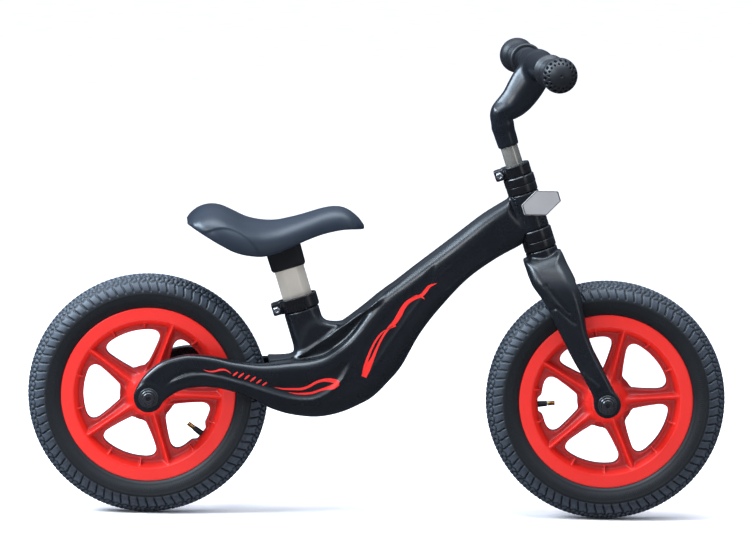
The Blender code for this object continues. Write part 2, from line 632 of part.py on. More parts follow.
def main():
    clear_scene()
    black = paint("satin_black", (0.010, 0.011, 0.013), 0.38)
    dark = paint("blackened_steel", (0.016, 0.016, 0.018), 0.35, 0.8)
    slate = paint("slate_plastic", (0.030, 0.036, 0.045), 0.50)
    red = paint("red_plastic", (0.80, 0.022, 0.012), 0.35)
    rubber = paint("tyre_rubber", (0.014, 0.014, 0.016), 0.75)
    grip_rubber = paint("grip_rubber", (0.018, 0.019, 0.021), 0.65)
    aluminium = paint("polished_aluminium", (0.74, 0.75, 0.77), 0.25, 1.0)
    steel = paint("zinc_steel", (0.62, 0.62, 0.60), 0.30, 1.0)
    silver = paint("silver_plate", (0.60, 0.60, 0.62), 0.35, 1.0)
    brass = paint("brass", (0.62, 0.42, 0.16), 0.30, 1.0)
    make_frame(black)
    make_headset(black, steel)
    make_badge(silver)
    make_seat(black, slate, aluminium, steel)
    make_fork(black, steel)
    make_handlebar(black, grip_rubber, aluminium)
    wheel_finishes = (red, rubber, steel, brass, dark)
    make_wheel("rear", REAR_HUB, REAR_SPOKE_ANGLE, REAR_VALVE_ANGLE, wheel_finishes)
    make_wheel("front", FRONT_HUB, FRONT_SPOKE_ANGLE, FRONT_VALVE_ANGLE, wheel_finishes)


main()
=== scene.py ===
import json
import math

import bmesh
import bpy
import numpy as np
from mathutils import Matrix, Vector
from mathutils.bvhtree import BVHTree

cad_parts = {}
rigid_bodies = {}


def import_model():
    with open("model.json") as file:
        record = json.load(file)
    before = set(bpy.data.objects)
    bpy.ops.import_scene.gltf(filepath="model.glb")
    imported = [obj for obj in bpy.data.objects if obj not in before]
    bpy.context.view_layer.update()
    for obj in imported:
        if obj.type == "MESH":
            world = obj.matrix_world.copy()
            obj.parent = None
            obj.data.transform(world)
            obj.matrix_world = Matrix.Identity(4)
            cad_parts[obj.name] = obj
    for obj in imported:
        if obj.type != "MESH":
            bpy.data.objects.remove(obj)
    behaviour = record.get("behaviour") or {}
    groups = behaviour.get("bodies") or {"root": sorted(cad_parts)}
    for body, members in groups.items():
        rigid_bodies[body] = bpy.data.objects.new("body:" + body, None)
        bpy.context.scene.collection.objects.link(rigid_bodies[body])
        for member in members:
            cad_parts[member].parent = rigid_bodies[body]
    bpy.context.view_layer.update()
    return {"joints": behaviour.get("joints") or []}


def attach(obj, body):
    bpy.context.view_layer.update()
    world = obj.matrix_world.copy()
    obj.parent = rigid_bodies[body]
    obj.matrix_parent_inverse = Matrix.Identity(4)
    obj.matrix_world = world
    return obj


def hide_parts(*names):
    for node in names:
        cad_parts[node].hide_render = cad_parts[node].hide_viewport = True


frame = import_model()

# Shapes are worked out in millimetres in the frame's own axes, and MM turns them into metres.
MM = 0.001
STEP = 1.5

# Hubs and sliding axes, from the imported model
JOINTS = {joint["name"]: joint for joint in frame["joints"]}


def hub_of(wheel):
    """The middle of a wheel, from its spin joint, in millimetres."""
    return np.array(JOINTS[f"{wheel}_wheel_spin"]["pos_m"]) / MM


REAR_HUB = hub_of("rear")
FRONT_HUB = hub_of("front")
STEERING_POINT = np.array(JOINTS["steering"]["pos_m"]) / MM
STEERING_AXIS = np.array(JOINTS["steering"]["axis"])
SEAT_AXIS = np.array(JOINTS["seat_height"]["axis"])
SEAT_POINT = np.array((-108.8, 0.0, 295.7))
BAR_TURN = math.radians(5.6)
BAR_CENTRE = np.array((196.0, 0.0, 576.0))

# Where the frame's and the fork's ends meet an axle: their middle's distance from the middle plane, the
# bore, and the room that they leave for the wheel at distances from its hub
EYE_MIDDLE = 49.0
AXLE_BORE = 5.4
WHEEL_ROOM = ((60, 42.3), (110, 33.0), (160, 33.0))


# ---------------------------------------------------------------- shape tools


def smooth_min(a, b, k):
    """Union of two fields with a fillet about k wide."""
    h = np.maximum(k - np.abs(a - b), 0.0) / k
    return np.minimum(a, b) - h * h * k * 0.25


def smooth_max(a, b, k):
    """Intersection of two fields with a rounded edge about k wide."""
    return -smooth_min(-a, -b, k)


def ramp(value, low, high):
    """0 below low, 1 above high, and a smooth step between."""
    t = np.clip((value - low) / (high - low), 0.0, 1.0)
    return t * t * (3 - 2 * t)


def table(x, pairs):
    """A smooth curve through (position, value) pairs, level beyond its ends."""
    knots, values = np.array(pairs, float).T
    slopes = np.gradient(values, knots)
    i = np.clip(np.searchsorted(knots, x) - 1, 0, len(knots) - 2)
    h = knots[i + 1] - knots[i]
    t = np.clip((x - knots[i]) / h, 0.0, 1.0)
    a = (1 + 2 * t) * (1 - t) ** 2
    b = t * (1 - t) ** 2
    c = t * t * (3 - 2 * t)
    d = t * t * (t - 1)
    return a * values[i] + b * h * slopes[i] + c * values[i + 1] + d * h * slopes[i + 1]


def curve(points, steps=6, closed=False):
    """A smooth line through points. A point given twice is a corner."""
    p = np.asarray(points, float)
    if closed:
        p = np.vstack([p[-1:], p, p[:2]])
    else:
        p = np.vstack([2 * p[0] - p[1], p, 2 * p[-1] - p[-2]])
    t = np.linspace(0, 1, steps, endpoint=False)[:, None]
    pieces = []
    for a, b, c, d in zip(p, p[1:], p[2:], p[3:]):
        cubic = 2 * b + (c - a) * t + (2 * a - 5 * b + 4 * c - d) * t**2 + (3 * b - a - 3 * c + d) * t**3
        pieces.append(0.5 * cubic)
    if not closed:
        pieces.append(p[-2:-1])
    return np.vstack(pieces)


def outline_distance(points, x, z):
    """Signed distance to a closed line in the side view, negative inside."""
    best = np.full(x.shape, 1e9)
    inside = np.zeros(x.shape, bool)
    for (ax, az), (bx, bz) in zip(points, np.roll(points, -1, axis=0)):
        ex, ez = bx - ax, bz - az
        if ex * ex + ez * ez < 1e-9:
            continue
        t = np.clip(((x - ax) * ex + (z - az) * ez) / (ex * ex + ez * ez), 0, 1)
        best = np.minimum(best, (x - ax - t * ex) ** 2 + (z - az - t * ez) ** 2)
        crossing = (az <= z) != (bz <= z)
        if ez:
            inside ^= crossing & (x < ax + (z - az) / ez * ex)
    return np.where(inside, -1, 1) * np.sqrt(best)


def line_distance(points, x, z):
    """Distance to an open line in the side view, and how far along it the nearest place is, 0 to 1."""
    best = np.full(x.shape, 1e9)
    where = np.zeros(x.shape)
    lengths = np.hypot(*np.diff(points, axis=0).T)
    starts = np.concatenate([[0], np.cumsum(lengths)])
    for (ax, az), (bx, bz), start, length in zip(points, points[1:], starts, lengths):
        if length < 1e-6:
            continue
        t = np.clip(((x - ax) * (bx - ax) + (z - az) * (bz - az)) / length**2, 0, 1)
        distance = (x - ax - t * (bx - ax)) ** 2 + (z - az - t * (bz - az)) ** 2
        nearer = distance < best
        best = np.where(nearer, distance, best)
        where = np.where(nearer, start + t * length, where)
    return np.sqrt(best), where / starts[-1]


def crease(points, x, z, height, width):
    """A ridge's height over the side view: it swells from nothing at its two ends."""
    distance, where = line_distance(curve(points), x, z)
    return height * np.exp(-((distance / width) ** 2)) * ramp(where, 0.0, 0.12) * ramp(1 - where, 0.0, 0.12)


def slab(outline, across, half_width, edge):
    """A field for an outline in the side view given a half width and a rounded edge."""
    a = outline + edge
    b = across - half_width + edge
    return np.minimum(np.maximum(a, b), 0) + np.hypot(np.maximum(a, 0), np.maximum(b, 0)) - edge


class Grid:
    """Sample points over a box of the side view, in millimetres: x and z are planes, and y, the distance
    from the middle plane, runs along a third axis."""

    def __init__(self, x_span, z_span, half_width, step=STEP):
        self.x_low, self.z_low, self.step = x_span[0], z_span[0], step
        self.x, self.z = np.meshgrid(np.arange(*x_span, step), np.arange(*z_span, step), indexing="ij")
        self.y = np.arange(0.0, half_width + step, step)[None, None, :]

    def points(self, places):
        """Places in a mirrored field's index units, as points in millimetres."""
        middle = self.y.size - 1
        x = self.x_low + places[:, 0] * self.step
        z = self.z_low + places[:, 1] * self.step
        return np.column_stack([x, (places[:, 2] - middle) * self.step, z])

    def along(self, point, axis):
        """Each sample's place along an axis in the middle plane, and its distance in front of it."""
        dx, dz = self.x - point[0], self.z - point[2]
        return dx * axis[0] + dz * axis[2], dx * axis[2] - dz * axis[0]


def mirrored(field):
    """A field over y from 0 up, continued to the other side of the middle plane."""
    return np.concatenate([field[:, :, :0:-1], field], axis=2)


def surface_net(field, wrap=False):
    """The zero surface of a field that is negative inside: vertices in index units, and quads. wrap joins
    the first axis's end to its start."""
    if wrap:
        field = np.concatenate([field, field[:1]], axis=0)
    inside = field < 0
    corners = [(i, j, k) for i in (0, 1) for j in (0, 1) for k in (0, 1)]
    cells = tuple(n - 1 for n in field.shape)

    def at(array, corner):
        i, j, k = corner
        return array[i : i + cells[0], j : j + cells[1], k : k + cells[2]]

    count = sum(at(inside, corner).astype(np.int8) for corner in corners)
    active = (count > 0) & (count < 8)
    where = np.argwhere(active)
    index = np.full(cells, -1, np.int64)
    index[active] = np.arange(len(where))
    values = {corner: at(field, corner)[active] for corner in corners}
    total = np.zeros((len(where), 3))
    crossings = np.zeros(len(where))
    for first in corners:
        for axis in range(3):
            if first[axis]:
                continue
            second = tuple(1 if a == axis else c for a, c in enumerate(first))
            a, b = values[first], values[second]
            crosses = (a < 0) != (b < 0)
            t = np.where(crosses, a / np.where(crosses, a - b, 1), 0)
            place = np.zeros((len(where), 3)) + first
            place[:, axis] = t
            total += place * crosses[:, None]
            crossings += crosses
    vertices = where + total / crossings[:, None]
    quads = []
    for axis in range(3):
        u, v = (axis + 1) % 3, (axis + 2) % 3
        low = [slice(0, n) for n in cells]
        high = list(low)
        high[axis] = slice(1, cells[axis] + 1)
        a, b = inside[tuple(low)], inside[tuple(high)]
        edges = np.argwhere(a != b)
        starts_inside = a[tuple(edges.T)]
        around = []
        keep = np.ones(len(edges), bool)
        for du, dv in ((0, 0), (-1, 0), (-1, -1), (0, -1)):
            cell = edges.copy()
            cell[:, u] += du
            cell[:, v] += dv
            if wrap:
                cell[:, 0] %= cells[0]
            keep &= (cell >= 0).all(axis=1)
            around.append(cell)
        around = np.stack([index[tuple(cell[keep].T)] for cell in around], axis=1)
        turn = starts_inside[keep]
        quads.append(np.where(turn[:, None], around, around[:, ::-1]))
    return vertices, np.vstack(quads)


def relaxed(points, faces, rounds):
    """Points evened out along the surface, pulled towards their neighbours' mean."""
    edges = np.vstack([faces[:, [0, 1]], faces[:, [1, 2]], faces[:, [2, 3]], faces[:, [3, 0]]])
    edges = np.vstack([edges, edges[:, ::-1]])
    degree = np.bincount(edges[:, 0], minlength=len(points))[:, None]
    for number in range(2 * rounds):
        mean = np.zeros_like(points)
        for axis in range(3):
            mean[:, axis] = np.bincount(edges[:, 0], points[edges[:, 1], axis], minlength=len(points))
        pull = 0.5 if number % 2 == 0 else -0.53
        points = points + pull * (mean / degree - points)
    return points


def volume_of(points, faces):
    """Six times the signed volume of a closed mesh of quads."""
    a, b, c, d = (points[faces[:, i]] for i in range(4))
    return np.einsum("ij,ij->", np.cross(a, b), c) + np.einsum("ij,ij->", np.cross(a, c), d)


def mesh_object(name, points, faces):
    """A smooth-shaded object from points in millimetres and faces."""
    mesh = bpy.data.meshes.new(name)
    mesh.from_pydata((np.asarray(points) * MM).tolist(), [], [list(map(int, face)) for face in faces])
    mesh.validate()
    mesh.shade_smooth()
    obj = bpy.data.objects.new(name, mesh)
    bpy.context.scene.collection.objects.link(obj)
    return obj


def closed_object(name, points, quads):
    """An object from a closed mesh of quads, turned to face outwards."""
    if volume_of(points, quads) < 0:
        quads = quads[:, ::-1]
    return mesh_object(name, points, quads)


def net_object(name, grid, half_field, rounds=2):
    """The mirrored solid of a half field, as an object."""
    places, quads = surface_net(mirrored(half_field))
    return closed_object(name, relaxed(grid.points(places), quads, rounds), quads)


def store(obj, name, values):
    """Puts a number at each of a mesh's points, for its material."""
    held = obj.data.attributes.new(name, "FLOAT", "POINT")
    held.data.foreach_set("value", np.ravel(values).astype(np.float32))


def post_hole(fore, aside, corner):
    """The hole for the seat post's eight flats, over distances from the post's middle."""
    flats = np.maximum(fore - 19.4, aside - 15.4)
    return np.maximum(flats, (fore * 0.655 + aside * 0.755) - corner)


# ---------------------------------------------------------------- materials

GRAIN_DEPTH = 0.0004
UNEVEN_SCALE = 22.0
TONE_CHANGE = 0.14
# The Mix node's sockets for a colour: how much of the second, the first colour, the second colour
MIX_SHARE, MIX_FIRST, MIX_SECOND, MIX_RESULT = 0, 6, 7, 2


def shader_of(surface):
    return surface.node_tree.nodes["Principled BSDF"]


def feed(surface, source, socket):
    """Links an output to a socket of the material's shader, in place of any earlier link."""
    surface.node_tree.links.new(source, shader_of(surface).inputs[socket])


def noise(surface, scale, detail):
    """A noise that stays fixed to the piece."""
    nodes, links = surface.node_tree.nodes, surface.node_tree.links
    place = nodes.new("ShaderNodeTexCoord")
    made = nodes.new("ShaderNodeTexNoise")
    made.inputs["Scale"].default_value = scale
    made.inputs["Detail"].default_value = detail
    links.new(place.outputs["Object"], made.inputs["Vector"])
    return made.outputs["Fac"]


def stretched(surface, source, low, high, span=(0.3, 0.7)):
    """The source, with its span stretched to run from low to high."""
    made = surface.node_tree.nodes.new("ShaderNodeMapRange")
    for socket, value in zip(("From Min", "From Max", "To Min", "To Max"), (*span, low, high)):
        made.inputs[socket].default_value = value
    surface.node_tree.links.new(source, made.inputs["Value"])
    return made.outputs["Result"]


def mixed(surface, share, first, second):
    """A colour between two, by share."""
    made = surface.node_tree.nodes.new("ShaderNodeMix")
    made.data_type = "RGBA"
    made.inputs[MIX_FIRST].default_value = (*first, 1.0)
    made.inputs[MIX_SECOND].default_value = (*second, 1.0)
    surface.node_tree.links.new(share, made.inputs[MIX_SHARE])
    return made.outputs[MIX_RESULT]


def stored(surface, name):
    """A number that the mesh holds at each of its points."""
    made = surface.node_tree.nodes.new("ShaderNodeAttribute")
    made.attribute_name = name
    return made.outputs["Fac"]


def material(name, colour, roughness, metallic=0.0, grain=420.0, bump=0.10, uneven=0.05, ior=None):
    """A Principled material with a fine moulded or cast grain, and gloss and tone that vary slightly."""
    made = bpy.data.materials.new(name)
    made.use_nodes = True
    made.diffuse_color = (*colour, 1.0)
    shader_of(made).inputs["Metallic"].default_value = metallic
    if ior:
        shader_of(made).inputs["IOR"].default_value = ior
    relief = made.node_tree.nodes.new("ShaderNodeBump")
    relief.inputs["Strength"].default_value = bump
    relief.inputs["Distance"].default_value = GRAIN_DEPTH
    made.node_tree.links.new(noise(made, grain, 3.0), relief.inputs["Height"])
    feed(made, relief.outputs["Normal"], "Normal")
    broad = noise(made, UNEVEN_SCALE, 4.0)
    feed(made, stretched(made, broad, roughness - uneven, roughness + uneven), "Roughness")
    darker, paler = ([channel * share for channel in colour] for share in (1 - TONE_CHANGE, 1 + TONE_CHANGE))
    feed(made, mixed(made, broad, darker, paler), "Base Color")
    return made


def make_grip_rubber():
    """Soft black rubber, duller down in the holes of its end, with painted shade making the holes blacker."""
    black = (0.0062, 0.0070, 0.0095)
    rubber = material("grip_rubber", black, 0.44, grain=800.0, bump=0.16)
    hole = stored(rubber, "hole")
    feed(rubber, stretched(rubber, hole, 0.44, 1.0, (0.0, 1.0)), "Roughness")
    # Painted shade: the holes are coloured near black
    feed(rubber, mixed(rubber, hole, black, (0.0006, 0.0006, 0.0008)), "Base Color")
    return rubber


def make_wheel_red():
    """Red plastic with painted shade: a darker red in the recesses between the spokes."""
    plastic = material("wheel_red", (0.52, 0.0090, 0.0048), 0.42, ior=1.38)
    # deep is the painted shade's red for the recesses, bright the red of the lit faces
    deep, bright = (0.235, 0.0050, 0.0034), (0.56, 0.0110, 0.0056)
    feed(plastic, mixed(plastic, stored(plastic, "painted_recess_shade"), deep, bright), "Base Color")
    return plastic


def make_tyre_rubber():
    """Rubber whose worn tread blocks are paler, in patches, than the side walls, with painted shade making
    the grooves between them darker.
    """
    rubber = material("tyre_rubber", (0.010, 0.012, 0.015), 0.50, grain=650.0, bump=0.20)
    patch = rubber.node_tree.nodes.new("ShaderNodeMath")
    patch.operation = "MULTIPLY"
    patches = stretched(rubber, noise(rubber, 260.0, 3.0), 0.65, 1.0)
    for source, socket in zip((stored(rubber, "tread"), patches), patch.inputs):
        rubber.node_tree.links.new(source, socket)
    # The tread attribute carries the worn paleness of the blocks and the painted shade in their grooves
    wear_and_groove_shade = mixed(rubber, patch.outputs["Value"], (0.0045, 0.0055, 0.0070), (0.034, 0.044, 0.060))
    feed(rubber, wear_and_groove_shade, "Base Color")
    return rubber


# ---------------------------------------------------------------- camera, light and floor

CAMERA_DISTANCE = 12.0
CAMERA_LENS = 453.8
CAMERA_AZIMUTH = math.radians(-2.0)
CAMERA_ELEVATION = math.radians(6.9)
CAMERA_ROLL = math.radians(1.16)
CAMERA_TARGET = Vector((-0.004, 0.0, 0.300))


def make_camera():
    """A long lens from the rider's right, slightly above and a little rolled."""
    back = Vector(
        (
            math.sin(CAMERA_AZIMUTH) * math.cos(CAMERA_ELEVATION),
            -math.cos(CAMERA_AZIMUTH) * math.cos(CAMERA_ELEVATION),
            math.sin(CAMERA_ELEVATION),
        )
    )
    right = Vector((0.0, 0.0, 1.0)).cross(back).normalized()
    up = back.cross(right)
    rolled_right = right * math.cos(CAMERA_ROLL) + up * math.sin(CAMERA_ROLL)
    rolled_up = up * math.cos(CAMERA_ROLL) - right * math.sin(CAMERA_ROLL)
    data = bpy.data.cameras.new("camera")
    data.sensor_width = 36.0
    data.lens = CAMERA_LENS
    data.clip_end = 100.0
    camera = bpy.data.objects.new("camera", data)
    camera.matrix_world = Matrix.Translation(CAMERA_TARGET + back * CAMERA_DISTANCE) @ Matrix(
        (rolled_right, rolled_up, back)
    ).transposed().to_4x4()
    bpy.context.scene.collection.objects.link(camera)
    bpy.context.scene.camera = camera


def area_light(name, place, target, size, power, colour):
    data = bpy.data.lights.new(name, "AREA")
    data.shape = "RECTANGLE"
    data.size, data.size_y = size
    data.energy = power
    data.color = colour
    light = bpy.data.objects.new(name, data)
    light.location = place
    light.rotation_euler = (Vector(target) - Vector(place)).to_track_quat("-Z", "Y").to_euler()
    bpy.context.scene.collection.objects.link(light)


def make_lights():
    """A soft studio: a sky that is bright overhead and dim at the horizon, and broad lamps."""
    world = bpy.data.worlds.new("studio")
    world.use_nodes = True
    nodes, links = world.node_tree.nodes, world.node_tree.links
    background = nodes["Background"]
    place = nodes.new("ShaderNodeTexCoord")
    split = nodes.new("ShaderNodeSeparateXYZ")
    shade = nodes.new("ShaderNodeValToRGB")
    links.new(place.outputs["Generated"], split.inputs["Vector"])
    links.new(split.outputs["Z"], shade.inputs["Fac"])
    links.new(shade.outputs["Color"], background.inputs["Color"])
    stops = shade.color_ramp.elements
    stops[0].position, stops[0].color = 0.0, (0.12, 0.135, 0.165, 1.0)
    stops[1].position, stops[1].color = 1.0, (1.75, 2.05, 2.5, 1.0)
    stop = stops.new(0.30)
    stop.color = (0.24, 0.28, 0.345, 1.0)
    background.inputs["Strength"].default_value = 0.62
    bpy.context.scene.world = world
    blue, white = (0.68, 0.84, 1.0), (0.92, 0.96, 1.0)
    area_light("overhead", (0.0, -0.5, 2.4), (0.0, 0.0, 0.3), (2.2, 1.0), 42.0, blue)
    area_light("high_left", (-2.1, -0.5, 2.0), (0.0, 0.0, 0.3), (1.7, 1.1), 150.0, blue)
    area_light("key", (-1.8, -3.0, 2.2), (0.0, 0.0, 0.25), (1.4, 1.0), 42.0, white)
    area_light("side", (2.4, -2.4, 1.2), (0.1, 0.0, 0.3), (0.8, 1.4), 6.0, white)
    sun = bpy.data.lights.new("sky_light", "SUN")
    sun.energy = 1.15
    sun.angle = math.radians(50)
    lamp = bpy.data.objects.new("sky_light", sun)
    lamp.rotation_euler = (math.radians(12), 0.0, 0.0)
    bpy.context.scene.collection.objects.link(lamp)


def make_floor():
    """A pale floor that doesn't show in the bike's own reflections."""
    bm = bmesh.new()
    bmesh.ops.create_grid(bm, x_segments=1, y_segments=1, size=30.0)
    mesh = bpy.data.meshes.new("floor")
    bm.to_mesh(mesh)
    bm.free()
    floor = bpy.data.objects.new("floor", mesh)
    floor.location.z = -0.0005
    bpy.context.scene.collection.objects.link(floor)
    mesh.materials.append(material("floor_paper", (1.0, 0.93, 0.90), 0.9))
    floor.visible_glossy = False


# ---------------------------------------------------------------- main frame

STREAM_TOP = [
    (163, 408), (163, 408), (130, 387), (96, 360), (49, 322.5), (22, 300), (4, 284), (-9, 268.5),
    (-20, 253), (-30, 238.5), (-41, 226), (-49, 219), (-60, 211), (-70, 205.5), (-83, 202), (-97, 200),
    (-112, 199), (-130, 197), (-150, 196), (-170, 198), (-188, 200.5), (-206, 204.5), (-225, 207),
    (-243, 207), (-261, 203), (-273, 198.5), (-285, 190), (-297, 178), (-305.5, 164), (-308.5, 152),
]
STREAM_BOTTOM = [
    (-305, 141), (-297, 135), (-288, 133.6), (-278.5, 137.2), (-272.4, 145), (-266, 151.5),
    (-254, 159.5), (-240, 164.5), (-219, 166.5), (-200, 164.5), (-181, 160), (-169, 156),
    (-151, 147.5), (-135, 139), (-117, 132.5), (-99, 128.5), (-80, 126.5), (-62, 128), (-43, 133),
    (-25, 141), (-6, 152), (12, 170), (30, 192), (51, 231), (74, 263), (110, 303), (146, 330),
    (179, 349), (196, 362), (196, 362),
]
STREAM_WIDTH = (
    (-290, 55.5), (-226, 55), (-187, 53.2), (-152, 51), (-122, 46.5), (-100, 42.5), (-80, 39),
    (-50, 34), (-20, 30.5), (20, 27), (60, 25), (110, 22.5), (160, 19), (195, 16),
)
STREAM_TOP_EDGE = (
    (-305, 5.6), (-226, 7.0), (-187, 8.5), (-150, 10), (-120, 12), (-90, 12.5), (-50, 10), (-20, 11),
    (20, 16), (60, 20), (110, 20), (160, 17),
)
STREAM_BOTTOM_EDGE = (
    (-305, 5.6), (-187, 6.5), (-150, 9), (-120, 15), (-90, 21), (-50, 22), (0, 18), (60, 15),
    (160, 13),
)
BODY_OUTLINE = [
    (30, 300), (30, 300), (10, 290), (-8, 275), (-28, 258.5), (-43, 247.5), (-47, 246.3), (-58, 246),
    (-66, 247), (-80, 250), (-80, 250), (-92, 240), (-99, 222), (-104, 208), (-111, 203),
    (-127, 200.5), (-143.5, 200), (-143.5, 200), (-143.5, 168), (-143.5, 168), (-90, 165), (-30, 190),
    (40, 262), (60, 290), (60, 290),
]
BODY_WIDTH = ((-143, 36), (-125, 30), (-100, 21), (-60, 18), (-30, 18), (0, 19), (110, 18))
LOW_RIB = [
    (-273, 163), (-258, 173), (-240, 179.5), (-222, 181), (-206, 179), (-188, 174.5), (-170, 169.5),
    (-147, 162), (-119, 153.5), (-99, 150), (-81, 150.5), (-64, 158), (-49, 171), (-39, 186), (-32, 205),
]
PANEL_TOP = [
    (-45, 200), (-62, 190), (-81, 182), (-99, 178.5), (-118, 177), (-144, 178.5), (-169, 182.5),
    (-195, 187.5), (-220, 191), (-243, 190.5), (-260, 183), (-270, 172),
]
RIDGE = [
    (-111, 202.5), (-102, 204), (-91, 209.5), (-81, 216), (-60, 231), (-41, 245.5), (-29, 255),
    (-8, 271.5), (8, 286),
]
BEAM_RIB = [(-17, 174), (-1, 199), (17, 226), (33, 250), (51, 276), (71, 301)]
BEAM_PANEL_TOP = [(70, 326), (47, 303), (25, 281), (6, 261), (-12, 239), (-23, 217), (-26, 196)]
BEAM_CREASE = [(71, 302), (82, 315), (92, 324), (103, 334), (115, 345), (127, 357), (139, 370)]
BEAM_EDGE = [(78, 282), (88, 292), (107, 310), (134, 330), (157, 341), (182, 352)]


def frame_field(grid):
    """The cast frame without its bores: the broad stream from arm to head, and the narrower body above it."""
    x, z, y = grid.x, grid.z, grid.y
    top, bottom = curve(STREAM_TOP), curve(STREAM_BOTTOM)
    from_top, _ = line_distance(top, x, z)
    from_bottom, _ = line_distance(bottom, x, z)
    low = ramp(from_top / (from_top + from_bottom + 0.01), 0.3, 0.7)
    edge = table(x, STREAM_TOP_EDGE) * (1 - low) + table(x, STREAM_BOTTOM_EDGE) * low
    stream = outline_distance(np.vstack([top, bottom]), x, z)
    field = slab(stream[:, :, None], y, table(x, STREAM_WIDTH)[:, :, None], edge[:, :, None])
    body = outline_distance(curve(BODY_OUTLINE, closed=True), x, z)
    body = slab(body[:, :, None], y, table(x, BODY_WIDTH)[:, :, None], 7.0)
    return smooth_min(field, body, 4.0)


def frame_relief(grid):
    """How far the sides stand proud (positive) or are let in, over the side view."""
    x, z = grid.x, grid.z
    panel = outline_distance(curve(LOW_RIB + PANEL_TOP, closed=True), x, z)
    relief = -2.4 * ramp(-panel, 0.5, 9.0)
    beam_panel = outline_distance(curve(BEAM_RIB + BEAM_PANEL_TOP, closed=True), x, z)
    relief -= 1.0 * ramp(-beam_panel, 0.3, 8.0)
    relief += crease(LOW_RIB, x, z, 1.5, 2.6)
    relief += crease(BEAM_RIB, x, z, 0.6, 1.8)
    relief += crease(BEAM_CREASE, x, z, 0.5, 1.3)
    relief += crease(BEAM_EDGE, x, z, 1.6, 2.0)
    return relief


def make_main_frame(finish):
    """The cast frame, with its seat tube, head tube, room for the rear wheel and eyes for its axle."""
    grid = Grid((-318, 222), (118, 434), 61)
    x, y = grid.x, grid.y
    field = frame_field(grid)
    outer = table(x, STREAM_WIDTH)
    side = ramp(y - outer[:, :, None], -15.0, -5.0)
    field = field - frame_relief(grid)[:, :, None] * side
    upper_side = ramp(y, 9.0, 16.0)
    ridge = crease(curve(RIDGE), x, grid.z, 4.6, 3.4)
    field = field - ridge[:, :, None] * upper_side
    up, fore = grid.along(SEAT_POINT, SEAT_AXIS)
    for half_long, half_wide, low, high in ((22.6, 19.6, -130.0, -36.3), (21.2, 17.9, -60.0, -20.3)):
        oval = ((np.abs(fore[:, :, None]) / half_long) ** 2.5 + (y / half_wide) ** 2.5) ** (1 / 2.5) - 1
        ends = np.maximum(low - up, up - high)[:, :, None]
        field = smooth_min(field, smooth_max(oval * half_wide, ends, 1.2), 8.0 if low < -100 else 0.6)
    along, ahead = grid.along(STEERING_POINT, STEERING_AXIS)
    head = np.hypot(ahead[:, :, None], y) - 19.2
    head = smooth_max(head, np.abs(along[:, :, None] + 8.2) - 25.5, 1.2)
    field = smooth_min(field, head, 5.0)
    cup = np.maximum(np.hypot(ahead[:, :, None], y) - 20.9, np.abs(along[:, :, None] + 56.0) - 25.0)
    field = smooth_max(field, -cup, 1.5)
    field = np.maximum(field, -(np.hypot(ahead[:, :, None], y) - 17.1))
    from_hub = np.hypot(x - REAR_HUB[0], grid.z - REAR_HUB[2])
    room = table(from_hub, WHEEL_ROOM)
    room = np.maximum((from_hub - 158.0)[:, :, None], y - room[:, :, None])
    field = smooth_max(field, -room, 3.0)
    boss = np.maximum((from_hub - 18.5)[:, :, None], np.abs(y - EYE_MIDDLE) - 6.6)
    field = smooth_min(field, boss, 1.5)
    field = np.maximum(field, -(from_hub - AXLE_BORE)[:, :, None])
    post = post_hole(np.abs(fore)[:, :, None], y, 17.3)
    field = np.maximum(field, -np.maximum(post, (-141.0 - up)[:, :, None]))
    body = net_object("cast_frame", grid, field)
    return finish_piece(body, finish, "frame", "cast_black", "main_frame")


# ---------------------------------------------------------------- turned and small pieces


def frame_along(origin, direction):
    """A frame whose Z runs along direction and whose Y stays sideways where it can, for points in mm."""
    z = np.asarray(direction, float)
    z = z / np.linalg.norm(z)
    y = np.array((0.0, 1.0, 0.0)) if abs(z[1]) < 0.9 else np.array((0.0, 0.0, 1.0))
    x = np.cross(y, z)
    x /= np.linalg.norm(x)
    return np.column_stack([x, np.cross(z, x), z]), np.asarray(origin, float)


def placed(frame_of_reference, points):
    """Points of a frame, in the row's axes."""
    axes, origin = frame_of_reference
    return np.asarray(points, float) @ axes.T + origin


def turn_with_bar(points):
    """Points turned about the steering axis as the handlebar is turned in its clamp."""
    turn = Matrix.Rotation(BAR_TURN, 3, Vector(STEERING_AXIS))
    return (np.asarray(points) - STEERING_POINT) @ np.array(turn).T + STEERING_POINT


def wheel_axes(hub, side=1):
    """A frame at a hub whose Z points to the rider's right (side 1) or left (side -1)."""
    return np.array(((1.0, 0.0, 0.0), (0.0, 0.0, -side), (0.0, side, 0.0))), hub


STEERING = frame_along(STEERING_POINT, STEERING_AXIS)
SEAT = frame_along(SEAT_POINT, SEAT_AXIS)


def rounded(points, radius, steps=4):
    """A line of points with each inner corner cut back and rounded."""
    p = np.asarray(points, float)
    made = [p[0]]
    for a, b, c in zip(p, p[1:], p[2:]):
        before, after = a - b, c - b
        length_before, length_after = np.linalg.norm(before), np.linalg.norm(after)
        reach = min(radius, 0.45 * length_before, 0.45 * length_after)
        first = b + before / length_before * reach
        last = b + after / length_after * reach
        for t in np.linspace(0, 1, steps):
            made.append((1 - t) ** 2 * first + 2 * t * (1 - t) * b + t * t * last)
    made.append(p[-1])
    return np.array(made)


def rings_object(name, rings, closed_ends=(True, True), loop=False):
    """A skin over rings of points, each in the row's axes and in millimetres."""
    rings = np.asarray(rings, float)
    rows, count = rings.shape[:2]
    index = np.arange(rows * count).reshape(rows, count)
    last = rows if loop else rows - 1
    faces = []
    for i in range(last):
        a, b = index[i], index[(i + 1) % rows]
        faces += list(np.column_stack([a, np.roll(a, -1), np.roll(b, -1), b]))
    faces = [tuple(face) for face in faces]
    if not loop and closed_ends[0]:
        faces.append(tuple(index[0][::-1]))
    if not loop and closed_ends[1]:
        faces.append(tuple(index[-1]))
    obj = mesh_object(name, rings.reshape(-1, 3), faces)
    bm = bmesh.new()
    bm.from_mesh(obj.data)
    bmesh.ops.recalc_face_normals(bm, faces=bm.faces)
    bm.to_mesh(obj.data)
    bm.free()
    return obj


